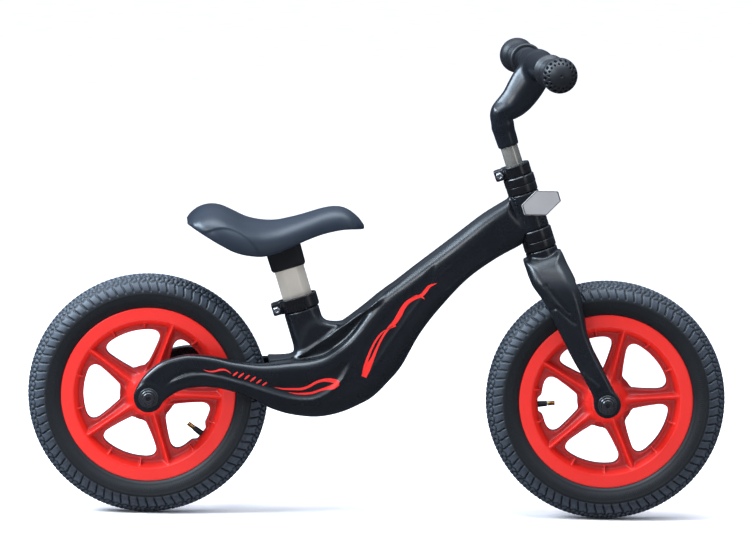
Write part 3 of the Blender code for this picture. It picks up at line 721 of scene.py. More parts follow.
def turned(name, profile, place, steps=72, corner=0.5, hexagons=(), loop=False):
    """A solid of revolution about a frame's Z from (radius, height) points with rounded corners. Heights
    within the hexagons' (low, high) spans and radii under 4 mm are drawn as a hexagon socket."""
    line = np.asarray(profile, float)
    if corner:
        line = rounded(line if not loop else np.vstack([line, line[:1]]), corner)
        if loop:
            line = line[:-1]
    angle = 2 * np.pi * np.arange(steps) / steps
    rings = []
    for radius, height in line:
        ring = np.full(steps, max(radius, 0.02))
        if any(low <= height <= high for low, high in hexagons) and radius < 4.0:
            ring = radius * np.cos(np.pi / 6) / np.cos((angle + np.pi / 6) % (np.pi / 3) - np.pi / 6)
            ring = np.maximum(ring, 0.02)
        points = np.column_stack([ring * np.cos(angle), ring * np.sin(angle), np.full(steps, height)])
        rings.append(placed(place, points))
    return rings_object(name, rings, loop=loop)


def finish_piece(obj, surface, body, slot, *nodes, sharp=None):
    """Gives a piece its material and its body, and hides the CAD nodes that it stands for. slot is not used.
    """
    obj.data.materials.append(surface)
    if sharp:
        obj.data.set_sharp_from_angle(angle=math.radians(sharp))
    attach(obj, body)
    if nodes:
        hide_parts(*nodes)
    return obj


class Block:
    """Sample points of a box in a frame of its own, for small pieces that aren't mirrored."""

    def __init__(self, low, high, step):
        self.low, self.step = np.array(low, float), step
        axes = [np.arange(a, b + step, step) for a, b in zip(low, high)]
        self.x, self.y, self.z = np.meshgrid(*axes, indexing="ij")

    def net(self, name, field, place, rounds=1):
        places, quads = surface_net(field)
        points = relaxed(self.low + places * self.step, quads, rounds)
        return closed_object(name, placed(place, points), quads)


# ---------------------------------------------------------------- wheels

# Radii from the wheel's axis, and half widths from its middle plane
SPOKE_COUNT = 5
WHEEL_BORE = 13.2
HUB_RADIUS = 19.0
HUB_HALF_WIDTH = 35.0
WEB_RADIUS = 97.0
RIM_RADIUS = 110.4
RIM_HALF_WIDTH = 20.0
WELL_RADIUS = 103.8
WELL_HALF_WIDTH = 17.9
# The rim's sloping inner side runs from one (radius, half width) to the other
SLOPE_INNER = (87.5, 9.5)
SLOPE_OUTER = (94.6, RIM_HALF_WIDTH)


def wheel_field(radius, angle, y, spoke_angle, valve_angle):
    """The moulded wheel over (angle, radius, distance from its middle plane)."""
    pitch = 2 * np.pi / SPOKE_COUNT
    off = (angle - spoke_angle + pitch / 2) % pitch - pitch / 2
    along = radius * np.cos(off)
    across = np.abs(radius * np.sin(off))
    valve_off = np.abs((angle - valve_angle + np.pi) % (2 * np.pi) - np.pi) * radius
    lip = 81.5 + 7.0 * (1 - ramp(valve_off, 5.0, 15.0))
    flange = table(along, ((14, 15.5), (32, 13.2), (50, 10.8), (66, 9.6), (90, 9.2)))
    window = smooth_max(radius - lip, flange - across, 15.0)
    bead = 2.0 * np.exp(-((window / 2.6) ** 2))
    web = smooth_max(y - 9.0 - bead, -window, 2.6)
    web = smooth_max(web, radius - WEB_RADIUS, 1.0)
    crest = table(along, ((14, 21.0), (24, 18.5), (50, 17.6), (94, 19.6)))
    slope = table(along, ((14, 1.0), (24, 1.15), (60, 1.9), (94, 2.0)))
    ridge = (y + slope * across - crest) / np.sqrt(1 + slope**2)
    ridge = np.maximum(ridge, radius - 98.0)
    ridge = smooth_max(ridge, y - crest + 0.7, 1.2)
    field = smooth_min(web, ridge, 2.2)
    hub = smooth_max(radius - HUB_RADIUS, y - HUB_HALF_WIDTH, 1.6)
    cone = (radius - HUB_RADIUS + (y - 24.0) * 0.72) / 1.232
    field = smooth_min(field, smooth_min(hub, np.maximum(cone, y - 26.0), 2.5), 3.0)
    window_off = np.abs(off) - pitch / 2 + math.radians(13.5)
    rib = np.abs(window_off) * radius - 0.9
    rib = np.maximum(rib, y - np.interp(radius, (81.0, 95.5), (12.5, 18.2)))
    rib = np.maximum(rib, 83.2 - radius)
    rib = np.maximum(rib, radius - WEB_RADIUS)
    field = smooth_min(field, rib, 1.2)
    chamfer = (SLOPE_OUTER[1] - SLOPE_INNER[1]) / (SLOPE_OUTER[0] - SLOPE_INNER[0])
    sloping = ((SLOPE_OUTER[0] - radius) * chamfer - (RIM_HALF_WIDTH - y)) / np.hypot(chamfer, 1.0)
    wall = np.maximum(y - RIM_HALF_WIDTH, sloping)
    wall = smooth_max(wall, radius - RIM_RADIUS, 1.0)
    wall = np.maximum(wall, 86.0 - radius)
    field = smooth_min(field, wall, 1.2)
    well = np.maximum(WELL_RADIUS - radius, y - WELL_HALF_WIDTH)
    field = np.maximum(field, -well)
    return np.maximum(field, WHEEL_BORE - radius)


def make_wheel(prefix, hub, spoke_angle, valve_angle, red):
    """The red moulded wheel as a net over angle, radius and width."""
    turns = 480
    step = 1.25
    angle = 2 * np.pi * np.arange(turns) / turns
    radius = np.arange(11.5, 114.0, step)
    half = np.arange(0.0, 38.0, step)
    field = wheel_field(
        radius[None, :, None], angle[:, None, None], half[None, None, :], spoke_angle, valve_angle
    )
    places, quads = surface_net(mirrored(field), wrap=True)
    a = places[:, 0] * 2 * np.pi / turns
    r = radius[0] + places[:, 1] * step
    y = (places[:, 2] - (len(half) - 1)) * step
    points = np.column_stack([r * np.cos(a), -y, r * np.sin(a)]) + hub
    points = relaxed(points, quads, 1)
    wheel = closed_object(f"{prefix}_moulded_wheel", points, quads)
    # Painted shade: the web inside the rim, below the spokes' crests, is marked to be coloured a darker red
    away = points - hub
    proud = ramp(np.abs(away[:, 1]), 6.0, 17.5)
    inner = 1 - ramp(np.hypot(away[:, 0], away[:, 2]), 88.0, 95.0)
    tone_with_painted_shade = 1 - inner * (1 - proud)
    store(wheel, "painted_recess_shade", tone_with_painted_shade)
    return finish_piece(wheel, red, f"{prefix}_wheel", "wheel_red", f"{prefix}_wheel")


TREAD_PITCHES = 78
TREAD_RADIUS = 143.0
TREAD_DEPTH = 1.8


def tyre_section(rows):
    """The tyre's outer profile from the near bead round the tread to the far bead, evenly spaced, as
    (radius, width) points and as the outward direction's same two parts."""
    half = [(107.6, 17.2), (111.4, 19.3), (115.0, 21.2), (120.0, 23.0), (126.0, 23.9), (131.0, 23.9)]
    half += [(132.2, 24.35), (137.0, 22.95), (142.0, 19.9), (146.6, 15.3), (150.2, 9.0), (151.8, 2.8)]
    half = np.array(half)
    line = curve(np.vstack([half, (half * (1, -1))[::-1]]), steps=24)
    reach = np.concatenate([[0], np.cumsum(np.hypot(*np.diff(line, axis=0).T))])
    even = np.linspace(0, reach[-1], rows)
    line = np.column_stack([np.interp(even, reach, line[:, i]) for i in (0, 1)])
    tangent = np.gradient(line, axis=0)
    normal = np.column_stack([tangent[:, 1], -tangent[:, 0]])
    normal /= np.linalg.norm(normal, axis=1)[:, None]
    if normal[rows // 2, 0] < 0:
        normal = -normal
    return line, normal


def groove(distance, width):
    """How deep a groove is, 0 to 1, at a distance from its middle."""
    return 1 - ramp(np.abs(distance), 0.32 * width, 0.85 * width)


def tread_depth(turn, width, radius):
    """How far the tread is cut in, in millimetres, over places round the tyre (in pitches) and across it."""
    away = np.abs(width)
    pitch = 2 * np.pi * TREAD_RADIUS / TREAD_PITCHES
    lean = np.where(width > 0, 0.5, 0.0)
    wave = 0.16 * np.sin((away - 8.0) * 0.42)
    phase = turn + wave + lean
    near_groove = (phase + 0.5) % 1.0 - 0.5
    half_groove = phase % 1.0 - 0.5
    zigzag = 8.4 + 1.9 * (4 * np.abs((turn + lean) % 1.0 - 0.5) - 1)
    shoulder = ramp(away, zigzag + 0.6, zigzag + 1.4)
    cut = groove(near_groove * pitch, 2.0) * shoulder
    inner_end = ramp(away, zigzag + 0.5, zigzag + 1.2) * (1 - ramp(away, 16.4, 17.4))
    cut = np.maximum(cut, 0.9 * groove(half_groove * pitch + 1.5 * np.sin(away * 0.9), 1.5) * inner_end)
    cut = np.maximum(cut, groove(away - 17.2 - 0.8 * np.sin(2 * np.pi * turn), 1.5))
    cut = np.maximum(cut, groove(away - zigzag, 1.9))
    middle = 0.8 * groove(((turn + 0.25 * np.sign(width) * away / 8.0) % 0.5 - 0.25) * pitch, 1.5)
    cut = np.maximum(cut, middle * (1 - ramp(away, zigzag - 1.4, zigzag - 0.6)) * ramp(away, 0.9, 1.7))
    cut = np.maximum(cut, 0.7 * groove(away, 1.1))
    on_tread = ramp(radius, 131.4, 132.2)
    return TREAD_DEPTH * cut * on_tread


def make_tyre(prefix, hub, rubber):
    """The tyre with its cut tread, smooth side walls and bead lines."""
    columns = TREAD_PITCHES * 15
    rows = 96
    line, normal = tyre_section(rows)
    turn = np.arange(columns)[:, None] * TREAD_PITCHES / columns
    radius, width = line[:, 0][None, :], line[:, 1][None, :]
    depth = tread_depth(turn, width, radius)
    outer_line = -0.55 * np.exp(-(((radius - 128.6) / 0.9) ** 2))
    outer_line = outer_line - 0.5 * np.exp(-(((radius - 113.8) / 0.8) ** 2))
    hairs = 0.16 * np.sin(2 * np.pi * turn * 4) * ramp(radius, 117, 119) * (1 - ramp(radius, 123.5, 125.5))
    depth = depth + outer_line + hairs
    r = radius - depth * normal[:, 0][None, :]
    y = width - depth * normal[:, 1][None, :]
    inside = [(107.6, 15.6), (112.0, 17.5), (122.0, 20.4), (135.0, 18.5), (144.0, 10.0), (146.6, 0.0)]
    inside = curve(np.vstack([inside, (np.array(inside) * (1, -1))[-2::-1]]), steps=3)[::-1]
    r = np.hstack([r, np.tile(inside[:, 0], (columns, 1))])
    y = np.hstack([y, np.tile(inside[:, 1], (columns, 1))])
    a = 2 * np.pi * np.arange(columns)[:, None] / columns
    points = np.stack([r * np.cos(a), -y, r * np.sin(a)], axis=-1) + hub
    tyre = rings_object(f"{prefix}_treaded_tyre", points, loop=True)
    on_tread = ramp(radius, 130.6, 131.6)
    # Worn tread paler towards the crown, and painted shade darkening each groove by its depth
    tone_with_painted_shade = on_tread * (0.45 + 0.55 * ramp(radius, 131, 144)) * (1.0 - 0.9 * ramp(depth, 0.5, 1.3))
    store(tyre, "tread", np.hstack([tone_with_painted_shade, np.zeros((columns, len(inside)))]))
    return finish_piece(tyre, rubber, f"{prefix}_wheel", "tyre", f"{prefix}_tyre")


def make_wheel_hardware(prefix, hub, valve_angle, surfaces):
    """Axle washers and bolts, and the valve."""
    carrier = "frame" if prefix == "rear" else "steering"
    for side, name in ((1, "right"), (-1, "left")):
        place = wheel_axes(hub, side)
        face = 56.0
        washer = (
            (3.4, face), (12.6, face), (12.6, face + 1.1), (11.6, face + 1.7), (10.0, face + 1.7),
            (9.0, face + 3.0), (3.4, face + 3.0),
        )
        piece = turned(f"{prefix}_round_washer_{name}", washer, place, loop=True, corner=0.4)
        finish_piece(piece, surfaces["axle"], carrier, "axle_black", f"{prefix}_axle_washer_{name}", sharp=30)
        seat = face + 3.3
        bolt = (
            (0.0, 30.0), (3.0, 30.0), (3.0, seat), (7.6, seat), (7.6, seat + 2.2), (6.4, seat + 3.6),
            (3.3, seat + 3.6), (3.2, seat + 1.0), (0.0, seat + 1.0),
        )
        socket = ((seat + 0.9, seat + 3.5),)
        piece = turned(f"{prefix}_socket_bolt_{name}", bolt, place, corner=0.3, hexagons=socket)
        finish_piece(piece, surfaces["axle"], carrier, "axle_black", f"{prefix}_axle_bolt_{name}", sharp=30)
    direction = np.array((math.cos(valve_angle), 0.0, math.sin(valve_angle)))
    place = frame_along(hub, direction)
    cover = ((0.0, 73.8), (3.0, 73.8), (3.5, 75.5), (3.9, 84.0), (4.05, 108.9), (0.0, 108.9))
    wheel = f"{prefix}_wheel"
    piece = turned(f"{prefix}_valve_cover", cover, place, steps=32, corner=0.6)
    finish_piece(piece, surfaces["valve"], wheel, "valve_rubber", f"{prefix}_valve_stem", sharp=40)
    tip = [(0.0, 64.3), (2.7, 64.3)]
    for thread in np.arange(65.0, 70.2, 0.8):
        tip += [(3.0, thread), (2.6, thread + 0.4)]
    tip += [(2.9, 70.6), (2.9, 73.5), (0.0, 73.5)]
    piece = turned(f"{prefix}_valve_end", tip, place, steps=32, corner=0.15)
    finish_piece(piece, surfaces["brass"], wheel, "valve_brass", f"{prefix}_valve_tip", sharp=50)


# ---------------------------------------------------------------- fork

FORK_OUTLINE = [
    (182.6, 326.5), (185.5, 330.5), (205, 336.5), (226, 342.5), (231, 339.5), (238, 325), (245, 312),
    (252, 298.5), (256, 284), (259, 266), (263, 243), (273, 217), (285, 194), (297, 172), (304.5, 160),
    (306.8, 152), (304.5, 143.5), (298.5, 137.6), (290, 135.2), (281.5, 137.6), (275.5, 143.5),
    (273.2, 151), (271, 163), (259, 185), (243, 212), (227, 242.5), (214.5, 267.5), (203, 285.5),
    (192.5, 300), (186.5, 315),
]
FORK_WIDTH = (
    (152, 55.8), (190, 55.0), (211, 53.2), (245, 51.4), (268, 50), (286, 48), (302, 44), (316, 36.5),
    (328, 28.5), (340, 23.5),
)
FORK_VALLEY = [(207, 305), (219, 289.5), (231, 276), (242, 264.5)]
FORK_RIDGE = [(203.5, 300), (215, 285), (227, 271), (239.5, 258.5)]
FORK_STEP = [(213.5, 268.5), (223, 273.5), (233.5, 265), (249.5, 252)]
FORK_SHOULDER = [(190, 326), (209, 328.5), (227, 324), (237, 315), (244.5, 305), (249, 291)]
FORK_FOOT = [(256, 193), (262, 186.5), (270, 180.5), (280.5, 171.5)]


def make_fork(finish):
    """The crown and both legs, with the crown's relief, the eyes for the axle and the bearing's seat."""
    grid = Grid((172, 318), (128, 352), 62)
    x, z, y = grid.x, grid.z, grid.y
    side = outline_distance(curve(FORK_OUTLINE, closed=True), x, z)
    half = table(z, FORK_WIDTH)
    edge = table(z, ((152, 6.0), (200, 6.5), (260, 9.5), (300, 15), (330, 15)))
    field = slab(side[:, :, None], y, half[:, :, None], edge[:, :, None])
    relief = -1.5 * crease(FORK_VALLEY, x, z, 1.0, 2.0) + 0.4 * crease(FORK_RIDGE, x, z, 1.0, 2.8)
    relief += -1.6 * crease(FORK_STEP, x, z, 1.0, 2.0) + 0.2 * crease(FORK_SHOULDER, x, z, 1.0, 4.0)
    relief += 1.5 * crease(FORK_FOOT, x, z, 1.0, 2.6)
    field = field - relief[:, :, None] * ramp(y - half[:, :, None], -13.0, -6.0)
    from_hub = np.hypot(x - FRONT_HUB[0], z - FRONT_HUB[2])
    room = table(from_hub, WHEEL_ROOM)
    room = np.maximum((from_hub - 157.3)[:, :, None], y - room[:, :, None])
    field = smooth_max(field, -room, 5.0)
    eye = smooth_max((from_hub - 17.0)[:, :, None], np.abs(y - EYE_MIDDLE) - 6.7, 0.8)
    field = smooth_min(field, eye, 1.5)
    field = np.maximum(field, -(from_hub - AXLE_BORE)[:, :, None])
    along, ahead = grid.along(STEERING_POINT, STEERING_AXIS)
    shaft = np.hypot(ahead[:, :, None], y)
    race = smooth_max(shaft - 20.4, np.abs(along[:, :, None] + 70.0) - 12.2, 0.8)
    field = smooth_min(field, race, 0.8)
    field = np.maximum(field, -np.maximum(shaft - 13.3, (-97.4 - along)[:, :, None]))
    fork = net_object("cast_fork", grid, field)
    return finish_piece(fork, finish, "steering", "cast_black", "fork")


# ---------------------------------------------------------------- handlebar

STEM_OUTLINE = [
    (147.2, 470.5), (147.2, 470.5), (140.4, 491), (137.0, 506), (136.6, 515.5), (140.6, 527), (147.0, 535.5),
    (152.5, 543), (158, 554), (165, 567), (175, 580), (186, 590), (197, 594), (208, 590), (214.5, 578),
    (212, 562), (204, 545), (194.6, 531), (185, 520), (176, 512.8), (165.2, 507), (165.2, 507), (167.5, 497),
    (174.2, 479), (174.2, 479),
]
STEM_REAR = [(140.6, 527), (147.0, 535.5), (152.5, 543), (158, 554), (165, 567), (175, 580), (186, 592)]


def make_stem(finish):
    """The gooseneck with its sleeve over the post and its crossbar, turned with the bar."""
    grid = Grid((124, 226), (460, 604), 105, STEP * 0.85)
    x, z, y = grid.x, grid.z, grid.y
    side = outline_distance(curve(STEM_OUTLINE, closed=True), x, z)
    half = table(z, ((470, 13.3), (492, 14.2), (515, 14.8), (535, 15.8), (556, 17.5), (576, 19.0)))
    field = slab(side[:, :, None], y, half[:, :, None], 0.72 * half[:, :, None])
    rear, _ = line_distance(curve(STEM_REAR), x, z)
    bevel = y - (5.0 + 0.72 * rear + 12.0 * (1 - ramp(z, 508, 530)))[:, :, None]
    field = smooth_max(field, bevel / 1.23, 5.0)
    along, ahead = grid.along(STEERING_POINT, STEERING_AXIS)
    shaft = np.hypot(ahead[:, :, None], y)
    width = table(along, ((79, 13.2), (92, 13.8), (108, 14.0)))[:, :, None]
    sleeve = smooth_max(shaft - width, np.maximum(79.0 - along, along - 108.0)[:, :, None], 2.6)
    below = smooth_max(field, (97.0 - along)[:, :, None], 12.0)
    field = smooth_min(below, sleeve, 3.0)
    bar = np.hypot(x - BAR_CENTRE[0], z - BAR_CENTRE[2])[:, :, None]
    radius = table(y, ((0, 18.6), (30, 18.2), (70, 16.5), (94, 15.2), (96, 16.2), (99, 16.2), (101, 15.0)))
    bar = smooth_max(bar - radius, y - 103.4, 1.2)
    field = smooth_min(field, bar, 9.0)
    field = np.maximum(field, -np.maximum(shaft - 11.4, (along - 108.3)[:, :, None]))
    places, quads = surface_net(mirrored(field))
    points = turn_with_bar(relaxed(grid.points(places), quads, 2))
    stem = closed_object("moulded_stem", points, quads)
    return finish_piece(stem, finish, "handlebar", "stem_black", "handlebar_stem")


HOLES = 18
# The two rings of holes: tilt from the grip's axis, reach, stretch round the ball, depth and turn
HOLE_RINGS = ((1.02, 2.2, 1.3, 2.8, 0.0), (0.74, 1.5, 1.0, 2.0, 0.17))
GRIP_BALL_RADIUS = 22.5
GRIP_BALL_MIDDLE = 188.6
GRIP_BALL_LENGTH = 17.4


def make_grip(name, side, finish):
    """A grip with its inner flange, ribbed sleeve and round end, which has two rings of small holes."""
    sleeve = [(11.4, 110), (11.4, 104), (19.0, 104), (20.8, 105.5), (20.8, 108.6), (19.0, 110.6)]
    sleeve += [(15.2, 113.4)]
    for start in np.arange(117.0, 171.0, 4.5):
        sleeve += [(15.1, start), (15.9, start + 0.8), (15.9, start + 2.7), (15.1, start + 3.5)]
    sleeve += [(15.4, 174.5), (16.4, 176.5)]
    sleeve = rounded(sleeve, 0.6, 3)
    polar = np.radians(np.linspace(122, 0.6, 60))
    ball = [GRIP_BALL_RADIUS * np.sin(polar), GRIP_BALL_MIDDLE + GRIP_BALL_LENGTH * np.cos(polar)]
    line = np.vstack([sleeve, np.column_stack(ball)])
    steps = 288
    angle = 2 * np.pi * np.arange(steps) / steps
    axes, origin = frame_along(BAR_CENTRE, (0.0, float(side), 0.0))
    rings, holes = [], []
    for radius, height in line:
        tilt = np.arctan2(radius, height - 184.0)
        sink = np.zeros(steps)
        if height > 176.6:
            for ring_tilt, reach, stretch, deep, shift in HOLE_RINGS:
                off = (angle + shift) % (2 * np.pi / HOLES) - np.pi / HOLES
                away = np.hypot((tilt - ring_tilt) * GRIP_BALL_RADIUS / stretch, off * radius)
                sink = np.maximum(sink, deep * (1 - ramp(away, 0.7 * reach, reach)))
            sink = np.maximum(sink, 1.2 * (1 - ramp(radius, 0.5, 1.4)))
        r = np.maximum(radius - sink * np.sin(tilt), 0.02)
        h = height - sink * np.cos(tilt)
        rings.append(placed((axes, origin), np.column_stack([r * np.cos(angle), r * np.sin(angle), h])))
        holes.append(ramp(sink, 0.3, 1.4))
    rings = turn_with_bar(np.array(rings).reshape(-1, 3)).reshape(-1, steps, 3)
    grip = rings_object(f"{name}_rubber", rings, closed_ends=(False, True))
    # The hole mask carries the painted shade and the duller gloss down in the holes
    store(grip, "hole", np.hstack(holes))
    return finish_piece(grip, finish, "handlebar", "grip_rubber", name)


# ---------------------------------------------------------------- saddle

SADDLE_TOP = (
    (-244.5, 373), (-241.5, 378.5), (-234.5, 386), (-224, 391.5), (-213, 393.3), (-201, 391.5),
    (-189, 386.5), (-170, 378), (-150, 374.3), (-135, 374.3), (-112, 379), (-92, 385), (-73, 391),
    (-58, 393.4), (-46, 391.8), (-34, 385), (-26, 377.5), (-20.5, 370),
)
SADDLE_EDGE = (
    (-244.5, 372.4), (-241.5, 371.5), (-235, 368), (-221, 360), (-202, 349.5), (-186, 341.5),
    (-166, 336.3), (-147, 335), (-132, 338.5), (-109, 347), (-93, 354), (-74, 361), (-45, 367),
    (-20.5, 367),
)
SADDLE_WIDTH = (
    (-244.5, 30), (-243.4, 39), (-239.5, 50), (-231, 60), (-215, 68), (-198, 70), (-176, 67.5), (-150, 57.5),
    (-125, 45.5), (-100, 36), (-75, 30.5), (-50, 26.5), (-35, 23), (-26, 17), (-22, 11), (-20.5, 6),
)
SADDLE_PANEL = [
    (-232, 366), (-222, 365), (-210, 369), (-197, 370), (-183, 366), (-170, 358), (-159, 347), (-153, 333),
    (-153, 325), (-170, 318), (-240, 335), (-250, 366),
]
SADDLE_REAR = -244.5
SADDLE_LENGTH = 224.0
SADDLE_THICKNESS = 3.2


def make_saddle(finish):
    """The saddle's skin: a crowned top that rolls down to thin wings, hollow underneath."""
    rows = 150
    across = 90
    t = np.linspace(0, 1, rows)
    x = SADDLE_REAR + SADDLE_LENGTH * (0.5 - 0.5 * np.cos(np.pi * (0.03 + 0.94 * t)) - 0.0022) / 0.9956
    top, edge, half = table(x, SADDLE_TOP), table(x, SADDLE_EDGE), table(x, SADDLE_WIDTH)
    a = np.radians(np.linspace(-90, 90, across))[None, :]
    power = table(x, ((SADDLE_REAR, 1.0), (-200, 0.86), (-120, 0.88), (-60, 0.92), (-20, 1.0)))[:, None]

    def skin(inset):
        wide = np.maximum(half - inset, 1.0)[:, None]
        high = np.maximum(top - edge - inset, 0.6)[:, None]
        y = wide * np.sign(np.sin(a)) * np.abs(np.sin(a)) ** power
        z = edge[:, None] + high * np.abs(np.cos(a)) ** (power * 0.92)
        return y, z

    y, z = skin(0.0)
    xs = np.repeat(x[:, None], across, axis=1)
    panel = outline_distance(curve(SADDLE_PANEL, closed=True), xs, z)
    sink = 1.0 * ramp(-panel, -0.8, 1.0) * ramp(np.abs(y), 22, 34)
    y = y - np.sign(y) * sink
    z = z - 0.15 * sink
    y_in, z_in = skin(SADDLE_THICKNESS)
    outer = np.stack([xs, y, z], axis=-1)
    inner = np.stack([xs, y_in, z_in], axis=-1)
    middle = np.linspace(0.25, 0.75, 3)[:, None]
    rings = []
    for i in range(rows):
        swell = 1.1 * np.sin(np.pi * middle) * np.array((0.0, 0.35, -1.0))
        lip_high = outer[i, -1] * (1 - middle) + inner[i, -1] * middle + swell
        lip_low = inner[i, 0] * (1 - middle) + outer[i, 0] * middle + swell * (1, -1, 1)
        rings.append(np.vstack([outer[i], lip_high, inner[i, ::-1], lip_low]))
    saddle = rings_object("moulded_saddle", rings)
    return finish_piece(saddle, finish, "seat", "saddle_slate", "saddle_shell", sharp=60)


def make_saddle_base(finish, surfaces):
    """The plate under the saddle and the socket collar that the post slides into."""
    step = 0.9
    block = Block((-30, -34, -4), (34, 34, 68), step)
    x, y, z = block.x, block.y, block.z
    outer_x = np.interp(z, (0.0, 3.0, 36.0), (20.6, 22.2, 23.0))
    outer_y = np.interp(z, (0.0, 3.0, 36.0), (17.6, 19.0, 19.8))
    eight = np.maximum(np.abs(x) - outer_x, np.abs(y) - outer_y)
    corner = (outer_x * 0.63 + outer_y * 0.777) * 0.86
    eight = np.maximum(eight, (np.abs(x) * 0.63 + np.abs(y) * 0.777) - corner)
    collar = smooth_max(eight, -z, 1.4)
    place = (SEAT[0], SEAT_POINT + SEAT_AXIS * 19.5)
    world = placed(place, np.stack([x, y, z], axis=-1))
    collar = smooth_max(collar, world[..., 2] - 352.0, 1.0)
    hole = np.maximum(post_hole(np.abs(x), np.abs(y), 17.4), z - 20.8)
    field = np.maximum(collar, -hole)
    piece = block.net("saddle_collar", field, place)
    finish_piece(piece, finish, "seat", "base_plastic", "saddle_base")
    block = Block((-190, -34, 345), (-80, 34, 367), 1.3)
    plate = slab(np.abs(block.x + 135) - 50, np.abs(block.y), 28.0, 5.0)
    plate = smooth_max(plate, np.abs(block.z - 352 - 7 * ramp(block.x, -125, -105)) - 4.0, 1.5)
    piece = block.net("saddle_plate", plate, (np.eye(3), np.zeros(3)))
    for number, (x, y, z) in enumerate(((-177, -22, 0), (-177, 22, 0), (-93, -22, 7), (-93, 22, 7)), start=1):
        profile = (
            (0.0, 345.6 + z), (3.0, 345.6 + z), (3.6, 346.4 + z), (3.6, 348.0 + z), (2.0, 348.0 + z),
            (2.0, 364.0), (0.0, 364.0),
        )
        upright = (np.eye(3), np.array((x, y, 0.0)))
        screw = turned(f"saddle_pan_screw_{number}", profile, upright, steps=32, corner=0.2)
        finish_piece(screw, surfaces["zinc"], "seat", "zinc_steel", f"saddle_screw_{number}", sharp=35)
    return finish_piece(piece, finish, "seat", "base_plastic", "saddle_base")


# ---------------------------------------------------------------- clamps, headset, posts and badge


def make_clamp(name, ring, inner, ear, span, bolt_height, place, body, surfaces):
    """A split collar with square ears and a slit, its bolt and its nut."""
    reach, half_ear, bolt_reach = ear
    low, high = span
    step = 0.6
    block = Block((-reach - 3, -ring[1] - 3, low - 3), (ring[0] + 3, ring[1] + 3, high + 3), step)
    x, y, z = block.x, block.y, block.z

    def oval(half, power):
        share = (np.abs(x) / half[0]) ** power + (np.abs(y) / half[1]) ** power
        return share ** (1 / power) * half[1] - half[1]

    power = 2.0 if ring[0] == ring[1] else 2.3
    ends = np.abs(z - (low + high) / 2) - (high - low) / 2
    shell = smooth_max(oval(ring, power), ends, 1.6)
    ears = smooth_max(np.maximum(-reach - x, x + 12), np.abs(y) - half_ear, 1.5)
    ears = smooth_max(ears, ends + 0.2, 3.0)
    field = smooth_min(shell, ears, 2.0)
    field = smooth_max(field, -oval(inner, power), 0.8)
    field = np.maximum(field, -np.maximum(np.abs(y) - 1.2, x))
    piece = block.net(f"{name}_cast", field, place)
    finish_piece(piece, surfaces["clamp"], body, "clamp_black", name)
    axes, origin = place
    middle = origin + axes @ np.array((-bolt_reach, 0.0, bolt_height))
    face = half_ear + 0.3
    right = (np.array(((1.0, 0.0, 0.0), (0.0, 0.0, -1.0), (0.0, 1.0, 0.0))), middle)
    bolt = (
        (0.0, -face - 3.6), (2.5, -face - 3.6), (2.5, face), (4.6, face), (4.9, face + 0.5),
        (4.9, face + 2.6), (4.1, face + 4.2), (2.5, face + 4.6), (2.4, face + 2.4), (0.0, face + 2.4),
    )
    socket = ((face + 2.3, face + 4.55),)
    piece = turned(f"{name}_round_bolt", bolt, right, steps=48, corner=0.4, hexagons=socket)
    finish_piece(piece, surfaces["zinc"], body, "zinc_steel", f"{name}_bolt", sharp=35)
    angle = np.pi / 3 * np.arange(6)
    rings = []
    for radius, depth in ((3.1, 0.0), (5.3, 0.0), (5.3, 3.4), (4.7, 4.2), (3.1, 4.2)):
        height = np.full(6, -face - depth)
        ring_points = np.column_stack([radius * np.cos(angle), radius * np.sin(angle), height])
        rings.append(placed(right, ring_points))
    piece = rings_object(f"{name}_hex_nut", rings, loop=True)
    finish_piece(piece, surfaces["zinc"], body, "zinc_steel", f"{name}_nut", sharp=20)


def make_headset(surfaces):
    """The cups at both ends of the head tube, each with a fine groove round it."""
    lower = (
        (17.4, -57.5), (18.6, -57.5), (20.6, -56.4), (20.6, -46.6), (20.0, -46.1), (20.6, -45.6),
        (20.6, -32.6), (19.6, -31.2), (16.7, -31.2), (16.7, -20.3), (13.6, -20.3), (13.6, -44.0),
        (17.4, -44.0),
    )
    piece = turned("turned_lower_cup", lower, STEERING, steps=96, loop=True, corner=0.5)
    finish_piece(piece, surfaces["clamp"], "frame", "clamp_black", "headset_lower_cup", sharp=35)
    upper = (
        (16.7, 6.8), (16.7, 17.8), (18.7, 17.8), (19.5, 18.8), (19.5, 27.6), (19.0, 28.1), (19.9, 28.7),
        (19.9, 38.4), (18.6, 40.0), (17.4, 40.0), (17.4, 27.0), (13.6, 27.0), (13.6, 6.8),
    )
    piece = turned("turned_upper_cup", upper, STEERING, steps=96, loop=True, corner=0.5)
    finish_piece(piece, surfaces["clamp"], "frame", "clamp_black", "headset_upper_cup", sharp=35)


